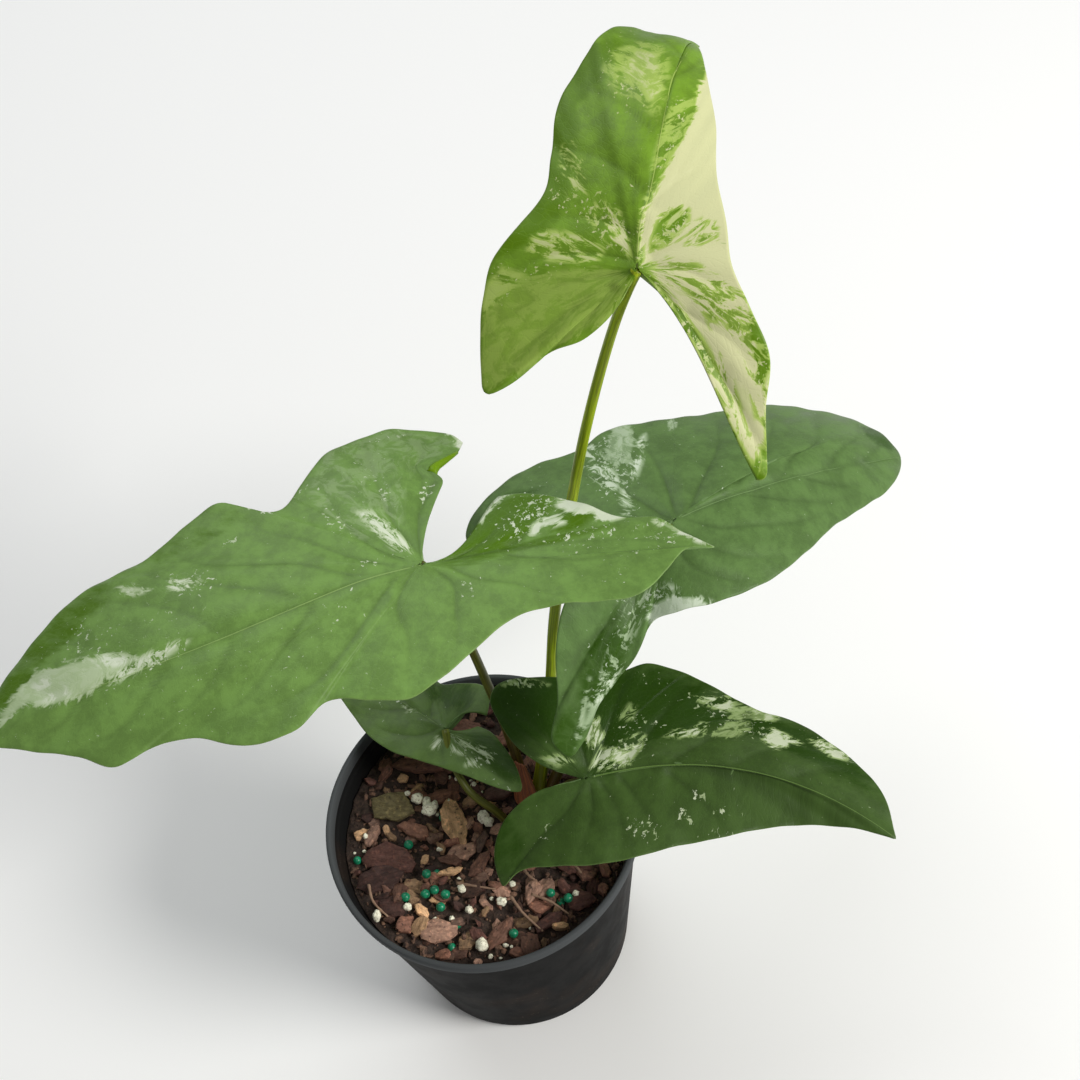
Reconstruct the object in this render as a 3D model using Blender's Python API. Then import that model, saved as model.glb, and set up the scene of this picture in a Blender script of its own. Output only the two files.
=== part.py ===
"""Potted syngonium: five arrow-shaped leaves on long stalks in a thin-walled nursery pot.

The origin is the centre of the pot's underside, with +Z up. Sizes below are in millimetres,
and MM turns them into metres where a mesh is made.
"""

import random
from math import cos, exp, hypot, pi, radians, sin, sqrt

import bmesh
import bpy
import numpy as np

MM = 0.001
CLEARANCE = 0.3

# Pot
POT_HEIGHT = 94.0
RIM_RADIUS = 51.0
BASE_RADIUS = 39.2
POT_WALL = 1.1
POT_FLOOR = 1.4
POT_SIDES = 56
BAND_HEIGHT = 4.2
BAND_DEPTH = 1.5
BAND_ROUND = 0.8
LIP_ROUND = 0.8
FOOT_BEVEL = 1.6
LEDGE_DROP = 6.5
LEDGE_WIDTH = 0.7
DRAIN_HOLES = 6
DRAIN_RADIUS = 4.0
DRAIN_CIRCLE = 27.0
DRAIN_SIDES = 12

# Potting mix
SOIL_LEVEL = 81.4
SOIL_RINGS = 15
MOUND_HEIGHT = 0.5
RIPPLE_HEIGHT = 0.3
CHIPS = 46
CHIP_SEED = 11
CHIP_HALF_LENGTH = (3.5, 8.0)
CHIP_HALF_WIDTH = (2.5, 4.5)
CHIP_THICKNESS = (0.8, 2.4)
CHIP_TILT = 0.14
GOLDEN_ANGLE = pi * (3.0 - sqrt(5.0))

# Crown of the plant and the dry sheath on it
CROWN = (16.7, 10.4)
CROWN_RADIUS = 7.6
CROWN_FOOT = 70.0
CROWN_TOP = 83.7
CROWN_SIDES = 20
CROWN_TAPER = 6.0
CROWN_ROUND = 1.0
SHEATH_TOP = 98.0
SHEATH_ROOT = 2.0
SHEATH_RADIUS_LOW = 5.6
SHEATH_RADIUS_HIGH = 6.2
SHEATH_THICKNESS = 0.8
SHEATH_FACES = radians(238.0)
SHEATH_HALF_WIDTH_LOW = radians(65.0)
SHEATH_HALF_WIDTH_HIGH = radians(16.0)
SHEATH_ROWS = 6
SHEATH_COLUMNS = 9
SHEATHED = ("top", "big_left")

# Leaves
BLADE_THICKNESS = 0.7
MARGIN_STEP = 7.5
BLADE_RINGS = 5
VEIN_SINK = 1.1
VEIN_WIDTH = 4.5
STALK_SIDES = 8
STALK_STEP = 13.0
SOCKET_SLACK = 0.4
JOINT_GAP = 1.05

# A row of a blade's edge: forward and left of the joint on the flat leaf, the blade's rise at the
# joint and at the edge in degrees along the line between them, and how far that line bows sideways,
# which is widest at bow_peak of the way out. The rows run from the notch round the left lobe to the
# main tip, and back round the right lobe. Headings, pitches and rolls are in degrees.
LEAVES = {
    "top": {
        "joint": (65, 56, 272), "heading": 82, "pitch": 32, "roll": 0, "bow_peak": 1 / 3,
        "inner_left": [(-3, 1, -5, -20, 0), (-10.5, 6, -5, -23, 0), (-17, 13.5, -4, -23, 0),
                       (-20.3, 22.5, -4, -22, 0), (-27.5, 32, -4, -22, 0)],
        "left_tip": (-32, 40, -3, -22, 0),
        "left": [(-22, 40.3, -3, -19, 0), (-7, 39.2, -1, -14, 0), (2, 37.2, 0, -12, 0),
                 (12, 30.2, 1, -14, 0), (20, 25, 1, -18, 0), (31, 24.7, 2, -26, 0),
                 (46, 25, 2, -31, 0), (61, 21, 3, -38, 0), (76, 17, 6, -48, 0),
                 (92, 12, 8, -65, 0), (107, 4, 10, -81, 0)],
        "main_tip": (119, -8, 10.5, -92, 0),
        "right": [(103, -12, 9, -80, 0), (86, -12.4, 8, -65, 0), (67, -13.6, 7, -55, 0),
                  (55, -15.5, 6, -48, 0), (43, -17.4, 4, -40, 0), (25, -18.3, 2, -28, 0),
                  (12, -21, 1, -18, 0), (2, -22.5, 0, -12, 0), (-8, -27.3, -1, -14, 1),
                  (-20, -33, -3, -20, 1.5), (-33, -32.7, -4, -23, 2), (-43, -33.5, -5, -25, 2.5)],
        "right_tip": (-51, -34, -5, -25, 2.6),
        "inner_right": [],
        "stalk": [(17, 10, 84), (24.5, 29, 113), (29.6, 40, 143), (39.3, 52, 184),
                  (49.2, 57, 222), (58.1, 60, 250), (65, 56, 272)],
        "stalk_radii": (2.1, 1.4),
        "colour": (0.36, 0.50, 0.20),
    },
    "big_left": {
        "joint": (0, 24, 200), "heading": 200, "pitch": 9, "roll": -3, "bow_peak": 1 / 3,
        "inner_left": [(-29, -19, 0, -15, -4), (-37, -16, 0, -8, -3), (-44, -11, 0, -4, -2),
                       (-50, -5, 0, 0, -1), (-58, 2, 0, 0, 0), (-66, 5, 1, 0, 0),
                       (-72, 13, 2, 0, 0)],
        "left_tip": (-78, 21, 3, 0, 0),
        "left": [(-70, 19, 4, 0, 0), (-62, 24, 5, 0, 0), (-53, 29, 6, 0, 0), (-41, 28, 7, 0, 0),
                 (-32, 25.7, 8, 0, 0), (-18, 25, 8, -1, 0), (-8, 28.6, 6, -4, 0), (4, 34, 4, -9, 0),
                 (15, 37, 3, -11, 0), (25, 34, 3, -12, 0), (35, 30, 4, -16, 0),
                 (45, 35, 5, -18, 0), (58, 34, 5, -21, 0), (74, 25, 7, -26, 0),
                 (84, 24, 7, -27, 0), (93, 25, 7, -28, 0), (103, 18, 8, -29, 0),
                 (116, 10, 8, -30, 0)],
        "main_tip": (130, 2, 8, -30, 0),
        "right": [(121, -12, 8, -30, 0), (108, -23, 7, -28, 0), (94, -31, 7, -26, 0),
                  (82, -33, 6, -24, 0), (70, -35, 5, -22, 0), (59, -40, 4, -19, 0),
                  (48, -43, 3, -15, 0), (38, -36, 3, -15, 0), (31, -34, 2, -14, 0),
                  (24, -40, 2, -12, 0), (15, -49, 2, -13, 0), (3, -54, 1, -16, 0.5),
                  (-7, -57, 1, -20, 1), (-17, -55, 0, -22, 1.5), (-25, -52, 0, -24, 2)],
        "right_tip": (-27.4, -47.1, 0, -24, 2),
        "inner_right": [],
        "stalk": [(13, 12, 84), (10, 22, 104), (6.2, 29, 125), (3.7, 31, 150), (1.7, 29, 178),
                  (0, 24, 200)],
        "stalk_radii": (1.7, 1.2),
        "colour": (0.19, 0.37, 0.11),
    },
    "back_right": {
        "joint": (68, 54, 170), "heading": 34, "pitch": -10, "roll": 0, "bow_peak": 1 / 2,
        "inner_left": [(-3, 1, 0, -14, 0), (-13, 9, 0, -18, 0), (-25, 18, 0, -19, 0),
                       (-39, 26, 0, -20, 0)],
        "left_tip": (-52, 31, 0, -20, 0),
        "left": [(-51, 36, 0, -20, 0), (-44, 43, 0, -20, 0), (-31, 48, 0, -20, 0),
                 (-16, 49, 0, -20, 0), (-4, 46, 0, -20, 0), (11, 49, 0, -20, 0),
                 (23, 46, 1, -21, 0), (36, 42, 2, -23, 0), (53, 39, 3, -26, 0),
                 (67, 37, 4, -28, 0), (82, 31, 5, -31, 0), (95, 23, 5, -33, 0),
                 (103, 12, 5, -34, 0)],
        "main_tip": (103, -1, 5, -35, 6),
        "right": [(95, -7.5, 5, -35, 5), (84, -13, 4, -34, 5), (70, -16.4, 3, -33, 4),
                  (51, -20.3, 2, -31, 3), (36, -25, 0, -29, 2), (22, -28.5, -2, -27, 1),
                  (9, -29.5, -4, -26, 0), (-4, -27.5, -6, -28, 0), (-14, -24, -9, -35, 0),
                  (-22, -21, -13, -48, 0), (-34, -26, -15, -57, 0), (-43, -27, -16, -60, 0),
                  (-53, -29, -16, -60, 0), (-62, -34, -16, -60, 0)],
        "right_tip": (-70, -36, -16, -60, 0),
        "inner_right": [(-70, -29, -14, -53, 0), (-60, -20, -12, -46, 0), (-50, -10, -6, -28, 0),
                        (-42, -4, -3, -16, 0), (-20, -2, -1, -13, 0), (-3, -1, 0, -12, 0)],
        "stalk": [(21, 12, 84), (34, 24, 105), (48, 37, 130), (60, 48, 153), (68, 54, 170)],
        "stalk_radii": (1.8, 1.2),
        "colour": (0.08, 0.16, 0.07),
    },
    "lower_right": {
        "joint": (36, -3, 120), "heading": -8, "pitch": 0, "roll": 0, "bow_peak": 1 / 2,
        "inner_left": [(-3, 1, 2, 1, 0), (-10, 2, 4, 1, 0), (-18, 5, 9, 3, 0),
                       (-24, 9, 14, 5, 0), (-30, 16, 19, 7, 0)],
        "left_tip": (-33, 20, 22, 8, 0),
        "left": [(-31, 25, 23, 9, 0), (-25, 28, 24, 10, 0), (-10, 31, 22, 8, 0),
                 (6, 34, 17, 4, 0), (16, 38, 15, 2, 1), (27, 36, 13, 0, 2), (37, 32, 12, -4, 3),
                 (51, 27, 9, -10, 4), (63, 25, 8, -13, 6), (73, 20, 7, -15, 7),
                 (82, 15, 6, -18, 8), (89, 8, 5, -19, 10)],
        "main_tip": (94, -7, 5, -20, 11),
        "right": [(83, -5, 5, -20, 11), (69, -5, 3, -19, 10), (55, -8, 1, -18, 8),
                  (42, -13, -1, -17, 6), (30, -17, -3, -16, 4), (18, -22, -4, -15, 2),
                  (4, -26, -5, -16, 1), (-8, -27, -5, -20, 0), (-19, -29, -5, -26, 0)],
        "right_tip": (-24, -34, -5, -32, 0),
        "inner_right": [(-27, -26, -4, -28, 0), (-26, -18, -3, -20, 0), (-21, -10, -2, -12, 0),
                        (-14, -5, -1, -6, 0), (-3, -1, 0, 0, 0)],
        "stalk": [(21.5, 7.2, 84), (28.7, 5, 100), (34, 0, 112), (36, -3, 120)],
        "stalk_radii": (1.6, 1.2),
        "colour": (0.05, 0.11, 0.03),
    },
    "small_low": {
        "joint": (-10, 23, 108), "heading": 137, "pitch": 0, "roll": 0, "bow_peak": 1 / 2,
        "inner_left": [(-7, -8, 0, -12, -1), (-12, -9, 0, -8, -1), (-18, -8, 0, -4, 0),
                       (-27, -5, 0, -1, 0)],
        "left_tip": (-35, 0, 0, 0, 0),
        "left": [(-29, 3, 0, -1, 0), (-20, 6, 0, -4, 0), (-11, 9, 0, -8, 0), (-3, 12, 0, -10, 0),
                 (8, 16, 0, -10, 0), (20, 17, 0, -11, 0), (30, 15, 1, -13, 0),
                 (42, 12, 3, -16, 0), (53, 7, 4, -19, 0)],
        "main_tip": (62, -3, 5, -20, 0),
        "right": [(54, -9, 4, -20, 0), (44, -14, 3, -24, 0), (33, -16, 2, -27, 0),
                  (24, -14.5, 1, -28, 0), (16.5, -13, 1, -28, 0), (11.4, -17, 0, -27, 0),
                  (5.6, -21, 0, -25, 0), (1.6, -21, 0, -22, 0), (-3.4, -16.6, 0, -18, 2)],
        "right_tip": (-6, -13, 0, -18, 3.5),
        "inner_right": [],
        "stalk": [(8.4, 2, 75), (7, 2, 80), (4, 2, 90), (-3, 5, 99), (-8, 13, 105),
                  (-10, 23, 108)],
        "stalk_radii": (1.4, 1.1),
        "colour": (0.09, 0.20, 0.07),
    },
}
STALK_IN_SOIL = "small_low"


def clear_scene():
    for item in list(bpy.data.objects):
        bpy.data.objects.remove(item, do_unlink=True)


def plain_material(name, colour, roughness):
    material = bpy.data.materials.new(name)
    material.use_nodes = True
    shader = material.node_tree.nodes["Principled BSDF"]
    shader.inputs["Base Color"].default_value = (*colour, 1.0)
    shader.inputs["Roughness"].default_value = roughness
    shader.inputs["Metallic"].default_value = 0.0
    return material


def add_object(name, mesh_builder, material, sharp_angle=radians(40)):
    """Turn a bmesh in millimetres into a named object in metres."""
    mesh = bpy.data.meshes.new(name)
    bmesh.ops.scale(mesh_builder, vec=(MM, MM, MM), verts=mesh_builder.verts)
    bmesh.ops.recalc_face_normals(mesh_builder, faces=mesh_builder.faces)
    mesh_builder.to_mesh(mesh)
    mesh_builder.free()
    mesh.shade_smooth()
    mesh.set_sharp_from_angle(angle=sharp_angle)
    mesh.materials.append(material)
    item = bpy.data.objects.new(name, mesh)
    bpy.context.collection.objects.link(item)
    return item


def combine(item, helper, operation):
    """Cut a hidden helper object from an object, or join it on, by a Boolean modifier."""
    helper.hide_render = True
    helper.display_type = "WIRE"
    boolean = item.modifiers.new(helper.name, "BOOLEAN")
    boolean.operation = operation
    boolean.solver = "EXACT"
    boolean.object = helper


def mesh_from(points, faces):
    mesh = bmesh.new()
    corners = [mesh.verts.new(point) for point in points]
    for face in faces:
        mesh.faces.new([corners[index] for index in face])
    return mesh


def turned(profile, sides, centre=(0.0, 0.0)):
    """Turn a profile of (radius, height) about a vertical line through centre."""
    mesh = bmesh.new()
    points = [mesh.verts.new((centre[0] + radius, centre[1], height)) for radius, height in profile]
    edges = [mesh.edges.new(pair) for pair in zip(points, points[1:])]
    bmesh.ops.spin(mesh, geom=points + edges, cent=(*centre, 0), axis=(0, 0, 1),
                   angle=2 * pi, steps=sides, use_merge=True)
    bmesh.ops.remove_doubles(mesh, verts=mesh.verts, dist=0.001)
    return mesh


def thick_sheet(points, triangles, thickness):
    """Close a sheet of triangles into a solid, split alike on both faces."""
    points = np.array(points, dtype=float)
    count = len(points)
    normals = np.zeros_like(points)
    for a, b, c in triangles:
        normals[[a, b, c]] += np.cross(points[b] - points[a], points[c] - points[a])
    normals *= 0.5 * thickness / np.linalg.norm(normals, axis=1)[:, None]
    faces = list(triangles)
    faces += [(c + count, b + count, a + count) for a, b, c in triangles]
    directed = {pair for a, b, c in triangles for pair in ((a, b), (b, c), (c, a))}
    for start, end in sorted(directed):
        if (end, start) not in directed:
            faces.append((end, start, start + count))
            faces.append((end, start + count, end + count))
    return mesh_from([*(points + normals), *(points - normals)], faces)


def smooth_curve(rows, steps, axes):
    """Even steps along a smooth curve through rows, whose first columns, axes of them, give its length."""
    rows = np.array(rows, dtype=float)
    chords = np.linalg.norm(np.diff(rows[:, :axes], axis=0), axis=1)
    along = np.concatenate([[0.0], np.cumsum(chords)])
    slopes = np.gradient(rows, along, axis=0)
    at = np.linspace(0.0, along[-1], steps + 1)
    piece = np.clip(np.searchsorted(along, at, side="right") - 1, 0, len(rows) - 2)
    span = (along[piece + 1] - along[piece])[:, None]
    f = (at - along[piece])[:, None] / span
    leaving = (2 * f**3 - 3 * f**2 + 1) * rows[piece] + (f**3 - 2 * f**2 + f) * span * slopes[piece]
    arriving = (3 * f**2 - 2 * f**3) * rows[piece + 1] + (f**3 - f**2) * span * slopes[piece + 1]
    return leaving + arriving


def curve_length(rows, axes):
    return np.linalg.norm(np.diff(np.array(rows, dtype=float)[:, :axes], axis=0), axis=1).sum()


def wall_radius(height):
    """Outer radius of the pot's tapered wall."""
    band_start = POT_HEIGHT - BAND_HEIGHT
    return BASE_RADIUS + (RIM_RADIUS - BAND_DEPTH - BASE_RADIUS) * height / band_start


def make_pot():
    """Thin-walled pot with a rim band, an inner ledge and drain holes round its floor."""
    band_start = POT_HEIGHT - BAND_HEIGHT
    ledge = POT_HEIGHT - LEDGE_DROP
    mouth = wall_radius(ledge) - POT_WALL + LEDGE_WIDTH
    profile = [
        (0.0, 0.0),
        (BASE_RADIUS - FOOT_BEVEL, 0.0),
        (wall_radius(FOOT_BEVEL), FOOT_BEVEL),
        (wall_radius(band_start), band_start),
        (RIM_RADIUS - BAND_ROUND, band_start),
        (RIM_RADIUS, band_start + BAND_ROUND),
        (RIM_RADIUS, POT_HEIGHT - LIP_ROUND),
        (RIM_RADIUS - LIP_ROUND, POT_HEIGHT),
        (mouth + LIP_ROUND, POT_HEIGHT),
        (mouth, POT_HEIGHT - LIP_ROUND),
        (mouth, ledge),
        (mouth - LEDGE_WIDTH, ledge - 0.5 * LEDGE_WIDTH),
        (wall_radius(POT_FLOOR) - POT_WALL, POT_FLOOR),
        (0.0, POT_FLOOR),
    ]
    plastic = plain_material("pot_plastic", (0.035, 0.037, 0.040), 0.45)
    pot = add_object("pot", turned(profile, POT_SIDES), plastic)
    combine(pot, add_object("drain_hole_cutter", drain_hole_pegs(), plastic), "DIFFERENCE")


def drain_hole_pegs():
    pegs = bmesh.new()
    for hole in range(DRAIN_HOLES):
        angle = 2 * pi * (hole + 0.5) / DRAIN_HOLES
        peg = bmesh.ops.create_cone(pegs, cap_ends=True, segments=DRAIN_SIDES, depth=4 * POT_FLOOR,
                                    radius1=DRAIN_RADIUS, radius2=DRAIN_RADIUS)
        place = (DRAIN_CIRCLE * cos(angle), DRAIN_CIRCLE * sin(angle), 0.5 * POT_FLOOR)
        bmesh.ops.translate(pegs, vec=place, verts=peg["verts"])
    return pegs


def bark_chips():
    """Chips as (x, y, half length, half width, turn, thickness, tilt), spread evenly over the pot."""
    draw = random.Random(CHIP_SEED)
    chips = []
    for number in range(CHIPS):
        radius = wall_radius(SOIL_LEVEL) * sqrt((number + 0.5) / CHIPS)
        angle = number * GOLDEN_ANGLE
        chips.append((radius * cos(angle), radius * sin(angle), draw.uniform(*CHIP_HALF_LENGTH),
                      draw.uniform(*CHIP_HALF_WIDTH), draw.uniform(0, pi),
                      draw.uniform(*CHIP_THICKNESS), draw.uniform(-CHIP_TILT, CHIP_TILT)))
    return chips


def soil_height(x, y, chips):
    """Height of the potting mix: gentle mounds, with bark chips standing out of them."""
    mound = MOUND_HEIGHT * sin(0.21 * x + 1.0) * cos(0.17 * y)
    ripple = RIPPLE_HEIGHT * sin(0.5 * x - 0.4 * y)
    raised = 0.0
    for chip_x, chip_y, half_length, half_width, turn, thickness, tilt in chips:
        along = (x - chip_x) * cos(turn) + (y - chip_y) * sin(turn)
        across = (y - chip_y) * cos(turn) - (x - chip_x) * sin(turn)
        if abs(along) < half_length and abs(across) < half_width:
            raised = max(raised, thickness + tilt * along)
    return SOIL_LEVEL + mound + ripple + raised


def soil_mesh():
    """A disc of rings, ring number n holding 6 n points, with a tapered side and a flat base."""
    chips = bark_chips()
    wall_gap = POT_WALL + CLEARANCE + RIM_RADIUS * (1 - cos(pi / POT_SIDES))
    rim = wall_radius(SOIL_LEVEL) - wall_gap
    base_height = POT_FLOOR + CLEARANCE
    points = [(0.0, 0.0, soil_height(0.0, 0.0, chips))]
    faces = []
    first = {0: 0}
    for ring in range(1, SOIL_RINGS + 1):
        first[ring] = len(points)
        for step in range(6 * ring):
            angle = 2 * pi * step / (6 * ring)
            x = rim * ring / SOIL_RINGS * cos(angle)
            y = rim * ring / SOIL_RINGS * sin(angle)
            points.append((x, y, soil_height(x, y, chips)))
        faces += ring_triangles(ring, first)
    outer = first[SOIL_RINGS]
    sides = 6 * SOIL_RINGS
    base = len(points)
    for step in range(sides):
        angle = 2 * pi * step / sides
        radius = wall_radius(base_height) - wall_gap
        points.append((radius * cos(angle), radius * sin(angle), base_height))
    points.append((0.0, 0.0, base_height))
    for step in range(sides):
        after = (step + 1) % sides
        faces.append((outer + step, base + step, base + after))
        faces.append((outer + step, base + after, outer + after))
        faces.append((base + step, base + sides, base + after))
    return mesh_from(points, faces)


def ring_triangles(ring, first):
    """Triangles between ring number ring and the smaller ring inside it."""
    triangles = []
    for sector in range(6):
        for step in range(ring):
            outer = first[ring] + sector * ring + step
            outer_next = first[ring] + (sector * ring + step + 1) % (6 * ring)
            inner = first[ring - 1] + (sector * (ring - 1) + step) % max(6 * (ring - 1), 1)
            triangles.append((inner, outer, outer_next))
            if step < ring - 1:
                inner_next = first[ring - 1] + (sector * (ring - 1) + step + 1) % (6 * (ring - 1))
                triangles.append((inner, outer_next, inner_next))
    return triangles


def make_potting_mix():
    """Potting mix with bark chips, and plain holes for the crown and for the small leaf's stalk."""
    bark = plain_material("bark_mix", (0.075, 0.045, 0.030), 0.9)
    soil = add_object("potting_mix", soil_mesh(), bark)
    hole = turned([(0.0, CROWN_FOOT - CLEARANCE), (CROWN_RADIUS + CLEARANCE, CROWN_FOOT - CLEARANCE),
                   (CROWN_RADIUS + CLEARANCE, POT_HEIGHT), (0.0, POT_HEIGHT)], CROWN_SIDES, CROWN)
    combine(soil, add_object("crown_hole_cutter", hole, bark), "DIFFERENCE")
    leaf = LEAVES[STALK_IN_SOIL]
    socket = stalk_mesh(leaf, extra_radius=SOCKET_SLACK, drop=CLEARANCE)
    combine(soil, add_object("stalk_hole_cutter", socket, bark), "DIFFERENCE")


def make_stem():
    """Crown at soil level with the dry sheath that wraps the feet of the two tallest stalks."""
    red_brown = plain_material("sheath_red_brown", (0.22, 0.06, 0.025), 0.6)
    profile = [
        (0.0, CROWN_FOOT),
        (0.6 * CROWN_RADIUS, CROWN_FOOT),
        (CROWN_RADIUS, CROWN_TOP - CROWN_TAPER),
        (CROWN_RADIUS, CROWN_TOP - CROWN_ROUND),
        (CROWN_RADIUS - 0.6 * CROWN_ROUND, CROWN_TOP),
        (0.0, CROWN_TOP),
    ]
    stem = add_object("stem", turned(profile, CROWN_SIDES, CROWN), red_brown)
    combine(stem, add_object("sheath_joiner", sheath_mesh(), red_brown), "UNION")


def sheath_mesh():
    """A gutter in front of the two tallest stalks, which leans with them and narrows upwards."""
    routes = [smooth_curve(LEAVES[name]["stalk"], 60, 3) for name in SHEATHED]
    foot = CROWN_TOP - SHEATH_ROOT
    points = []
    triangles = []
    for row in range(SHEATH_ROWS + 1):
        share = row / SHEATH_ROWS
        height = foot + (SHEATH_TOP - foot) * share
        centre_x = np.mean([np.interp(height, route[:, 2], route[:, 0]) for route in routes])
        centre_y = np.mean([np.interp(height, route[:, 2], route[:, 1]) for route in routes])
        radius = SHEATH_RADIUS_LOW + (SHEATH_RADIUS_HIGH - SHEATH_RADIUS_LOW) * share
        narrowing = (SHEATH_HALF_WIDTH_LOW - SHEATH_HALF_WIDTH_HIGH) * share**1.5
        half_width = SHEATH_HALF_WIDTH_LOW - narrowing
        for column in range(SHEATH_COLUMNS + 1):
            angle = SHEATH_FACES + half_width * (2.0 * column / SHEATH_COLUMNS - 1.0)
            x = centre_x + radius * cos(angle)
            y = centre_y + radius * sin(angle)
            points.append((x, y, height))
    for row in range(SHEATH_ROWS):
        for column in range(SHEATH_COLUMNS):
            a = row * (SHEATH_COLUMNS + 1) + column
            b = a + SHEATH_COLUMNS + 1
            triangles += [(a, a + 1, b + 1), (a, b + 1, b)]
    return thick_sheet(points, triangles, SHEATH_THICKNESS)


def leaf_axes(leaf):
    """Forward, left and up directions of a leaf."""
    heading, pitch, roll = (radians(leaf[key]) for key in ("heading", "pitch", "roll"))
    forward = np.array([cos(heading) * cos(pitch), sin(heading) * cos(pitch), sin(pitch)])
    level_left = np.array([-sin(heading), cos(heading), 0.0])
    level_up = np.cross(forward, level_left)
    left = level_left * cos(roll) + level_up * sin(roll)
    return forward, left, np.cross(forward, left)


def leaf_margin(leaf):
    """Rows at even steps round the blade's edge, with sharp corners kept at its tips."""
    strokes = [
        [*leaf["inner_left"], leaf["left_tip"]],
        [leaf["left_tip"], *leaf["left"], leaf["main_tip"]],
        [leaf["main_tip"], *leaf["right"], leaf["right_tip"]],
        [leaf["right_tip"], *leaf["inner_right"]],
    ]
    rows = [strokes[0][0]]
    for stroke in strokes:
        if len(stroke) > 1:
            steps = max(1, round(curve_length(stroke, 2) / MARGIN_STEP))
            rows += list(smooth_curve(stroke, steps, 2)[1:])
    return np.array(rows, dtype=float)


def vein_sink(x, y, leaf):
    """How far the upper face sinks towards the three main veins at a point of the flat leaf."""
    sink = 0.0
    for tip in (leaf["main_tip"], leaf["left_tip"], leaf["right_tip"]):
        length = hypot(tip[0], tip[1])
        along = (x * tip[0] + y * tip[1]) / length
        across = (y * tip[0] - x * tip[1]) / length
        if along > 0:
            fade = max(0.0, sin(pi * min(along / length, 1.0)))
            sink = max(sink, VEIN_SINK * fade * exp(-(across / VEIN_WIDTH) ** 2))
    return sink


def bow_shape(share, peak):
    """A hump from 0 at the joint to 1 at its peak and 0 at the edge."""
    power = 1.0 / min(peak, 1.0 - peak)
    return (share / peak) ** (power * peak) * ((1 - share) / (1 - peak)) ** (power * (1 - peak))


def blade_point(row, share, leaf, axes):
    """Point at a share of the way from the joint to a row of the blade's edge."""
    forward, left, rise_start, rise_end, bow = row
    length = hypot(forward, left)
    start = radians(rise_start)
    bend = radians(rise_end - rise_start) or 1e-4
    out = length * (sin(start + bend * share) - sin(start)) / bend
    up = length * (cos(start) - cos(start + bend * share)) / bend
    side = bow * bow_shape(share, leaf["bow_peak"])
    x = (out * forward - side * left) / length
    y = (out * left + side * forward) / length
    up -= vein_sink(forward * share, left * share, leaf)
    return np.array(leaf["joint"]) + x * axes[0] + y * axes[1] + up * axes[2]


def blade_mesh(leaf):
    """Spokes from the joint to the edge, closed into a thin solid."""
    axes = leaf_axes(leaf)
    margin = leaf_margin(leaf)
    points = [np.array(leaf["joint"], dtype=float)]
    for row in margin:
        points += [blade_point(row, ring / BLADE_RINGS, leaf, axes)
                   for ring in range(1, BLADE_RINGS + 1)]
    triangles = []
    for spoke in range(len(margin) - 1):
        near = 1 + spoke * BLADE_RINGS
        far = near + BLADE_RINGS
        triangles.append((0, far, near))
        for ring in range(BLADE_RINGS - 1):
            a, b = near + ring, far + ring
            triangles += [(a, b, b + 1), (a, b + 1, a + 1)]
    return thick_sheet(points, triangles, BLADE_THICKNESS)


def stalk_mesh(leaf, extra_radius=0.0, drop=0.0):
    """A round tapering stalk with a level foot, its top cut parallel to the blade it carries."""
    blade_up = leaf_axes(leaf)[2]
    rows = [np.array(row, dtype=float) for row in leaf["stalk"]]
    rows[0] = rows[0] - np.array([0.0, 0.0, drop])
    rows[-1] = rows[-1] - JOINT_GAP * blade_up
    rings = round(curve_length(rows, 3) / STALK_STEP)
    route = smooth_curve(rows, rings, 3)
    foot_radius, top_radius = leaf["stalk_radii"]
    tangents = np.gradient(route, axis=0)
    points = []
    for ring, (centre, tangent) in enumerate(zip(route, tangents)):
        tangent = tangent / np.linalg.norm(tangent)
        side = np.cross(tangent, [0.0, 1.0, 0.0])
        side /= np.linalg.norm(side)
        front = np.cross(tangent, side)
        plane = {0: np.array([0.0, 0.0, 1.0]), rings: blade_up}.get(ring, tangent)
        radius = foot_radius + (top_radius - foot_radius) * ring / rings + extra_radius
        for step in range(STALK_SIDES):
            angle = 2 * pi * step / STALK_SIDES
            spoke = radius * (cos(angle) * side + sin(angle) * front)
            spoke = spoke - tangent * (spoke @ plane) / (tangent @ plane)
            points.append(centre + spoke)
    return tube_mesh(points, rings)


def tube_mesh(points, rings):
    """Join rings of points into a closed tube, all in triangles."""
    points = [*points, np.mean(points[:STALK_SIDES], axis=0), np.mean(points[-STALK_SIDES:], axis=0)]
    foot, top = len(points) - 2, len(points) - 1
    faces = []
    for step in range(STALK_SIDES):
        after = (step + 1) % STALK_SIDES
        for ring in range(rings):
            low, high = ring * STALK_SIDES, (ring + 1) * STALK_SIDES
            faces.append((low + step, low + after, high + after))
            faces.append((low + step, high + after, high + step))
        faces.append((foot, after, step))
        faces.append((top, rings * STALK_SIDES + step, rings * STALK_SIDES + after))
    return mesh_from(points, faces)


def make_leaves():
    stalk_skin = plain_material("petiole_olive", (0.16, 0.19, 0.03), 0.5)
    for name, leaf in LEAVES.items():
        leaf_skin = plain_material(f"leaf_{name}", leaf["colour"], 0.4)
        add_object(f"petiole_{name}", stalk_mesh(leaf), stalk_skin)
        add_object(f"blade_{name}", blade_mesh(leaf), leaf_skin)


clear_scene()
make_pot()
make_potting_mix()
make_stem()
make_leaves()
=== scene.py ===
"""Potted syngonium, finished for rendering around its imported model.

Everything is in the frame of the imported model: +Z up, with the origin at the centre of the pot's
underside. The tables below are in millimetres and degrees, and MM turns them into metres.
"""

import random
from math import cos, pi, radians, sin, sqrt

import bmesh
import bpy
import numpy as np
from bpy.props import FloatProperty, FloatVectorProperty, IntProperty, PointerProperty
from mathutils import Matrix, Vector, noise


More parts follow.
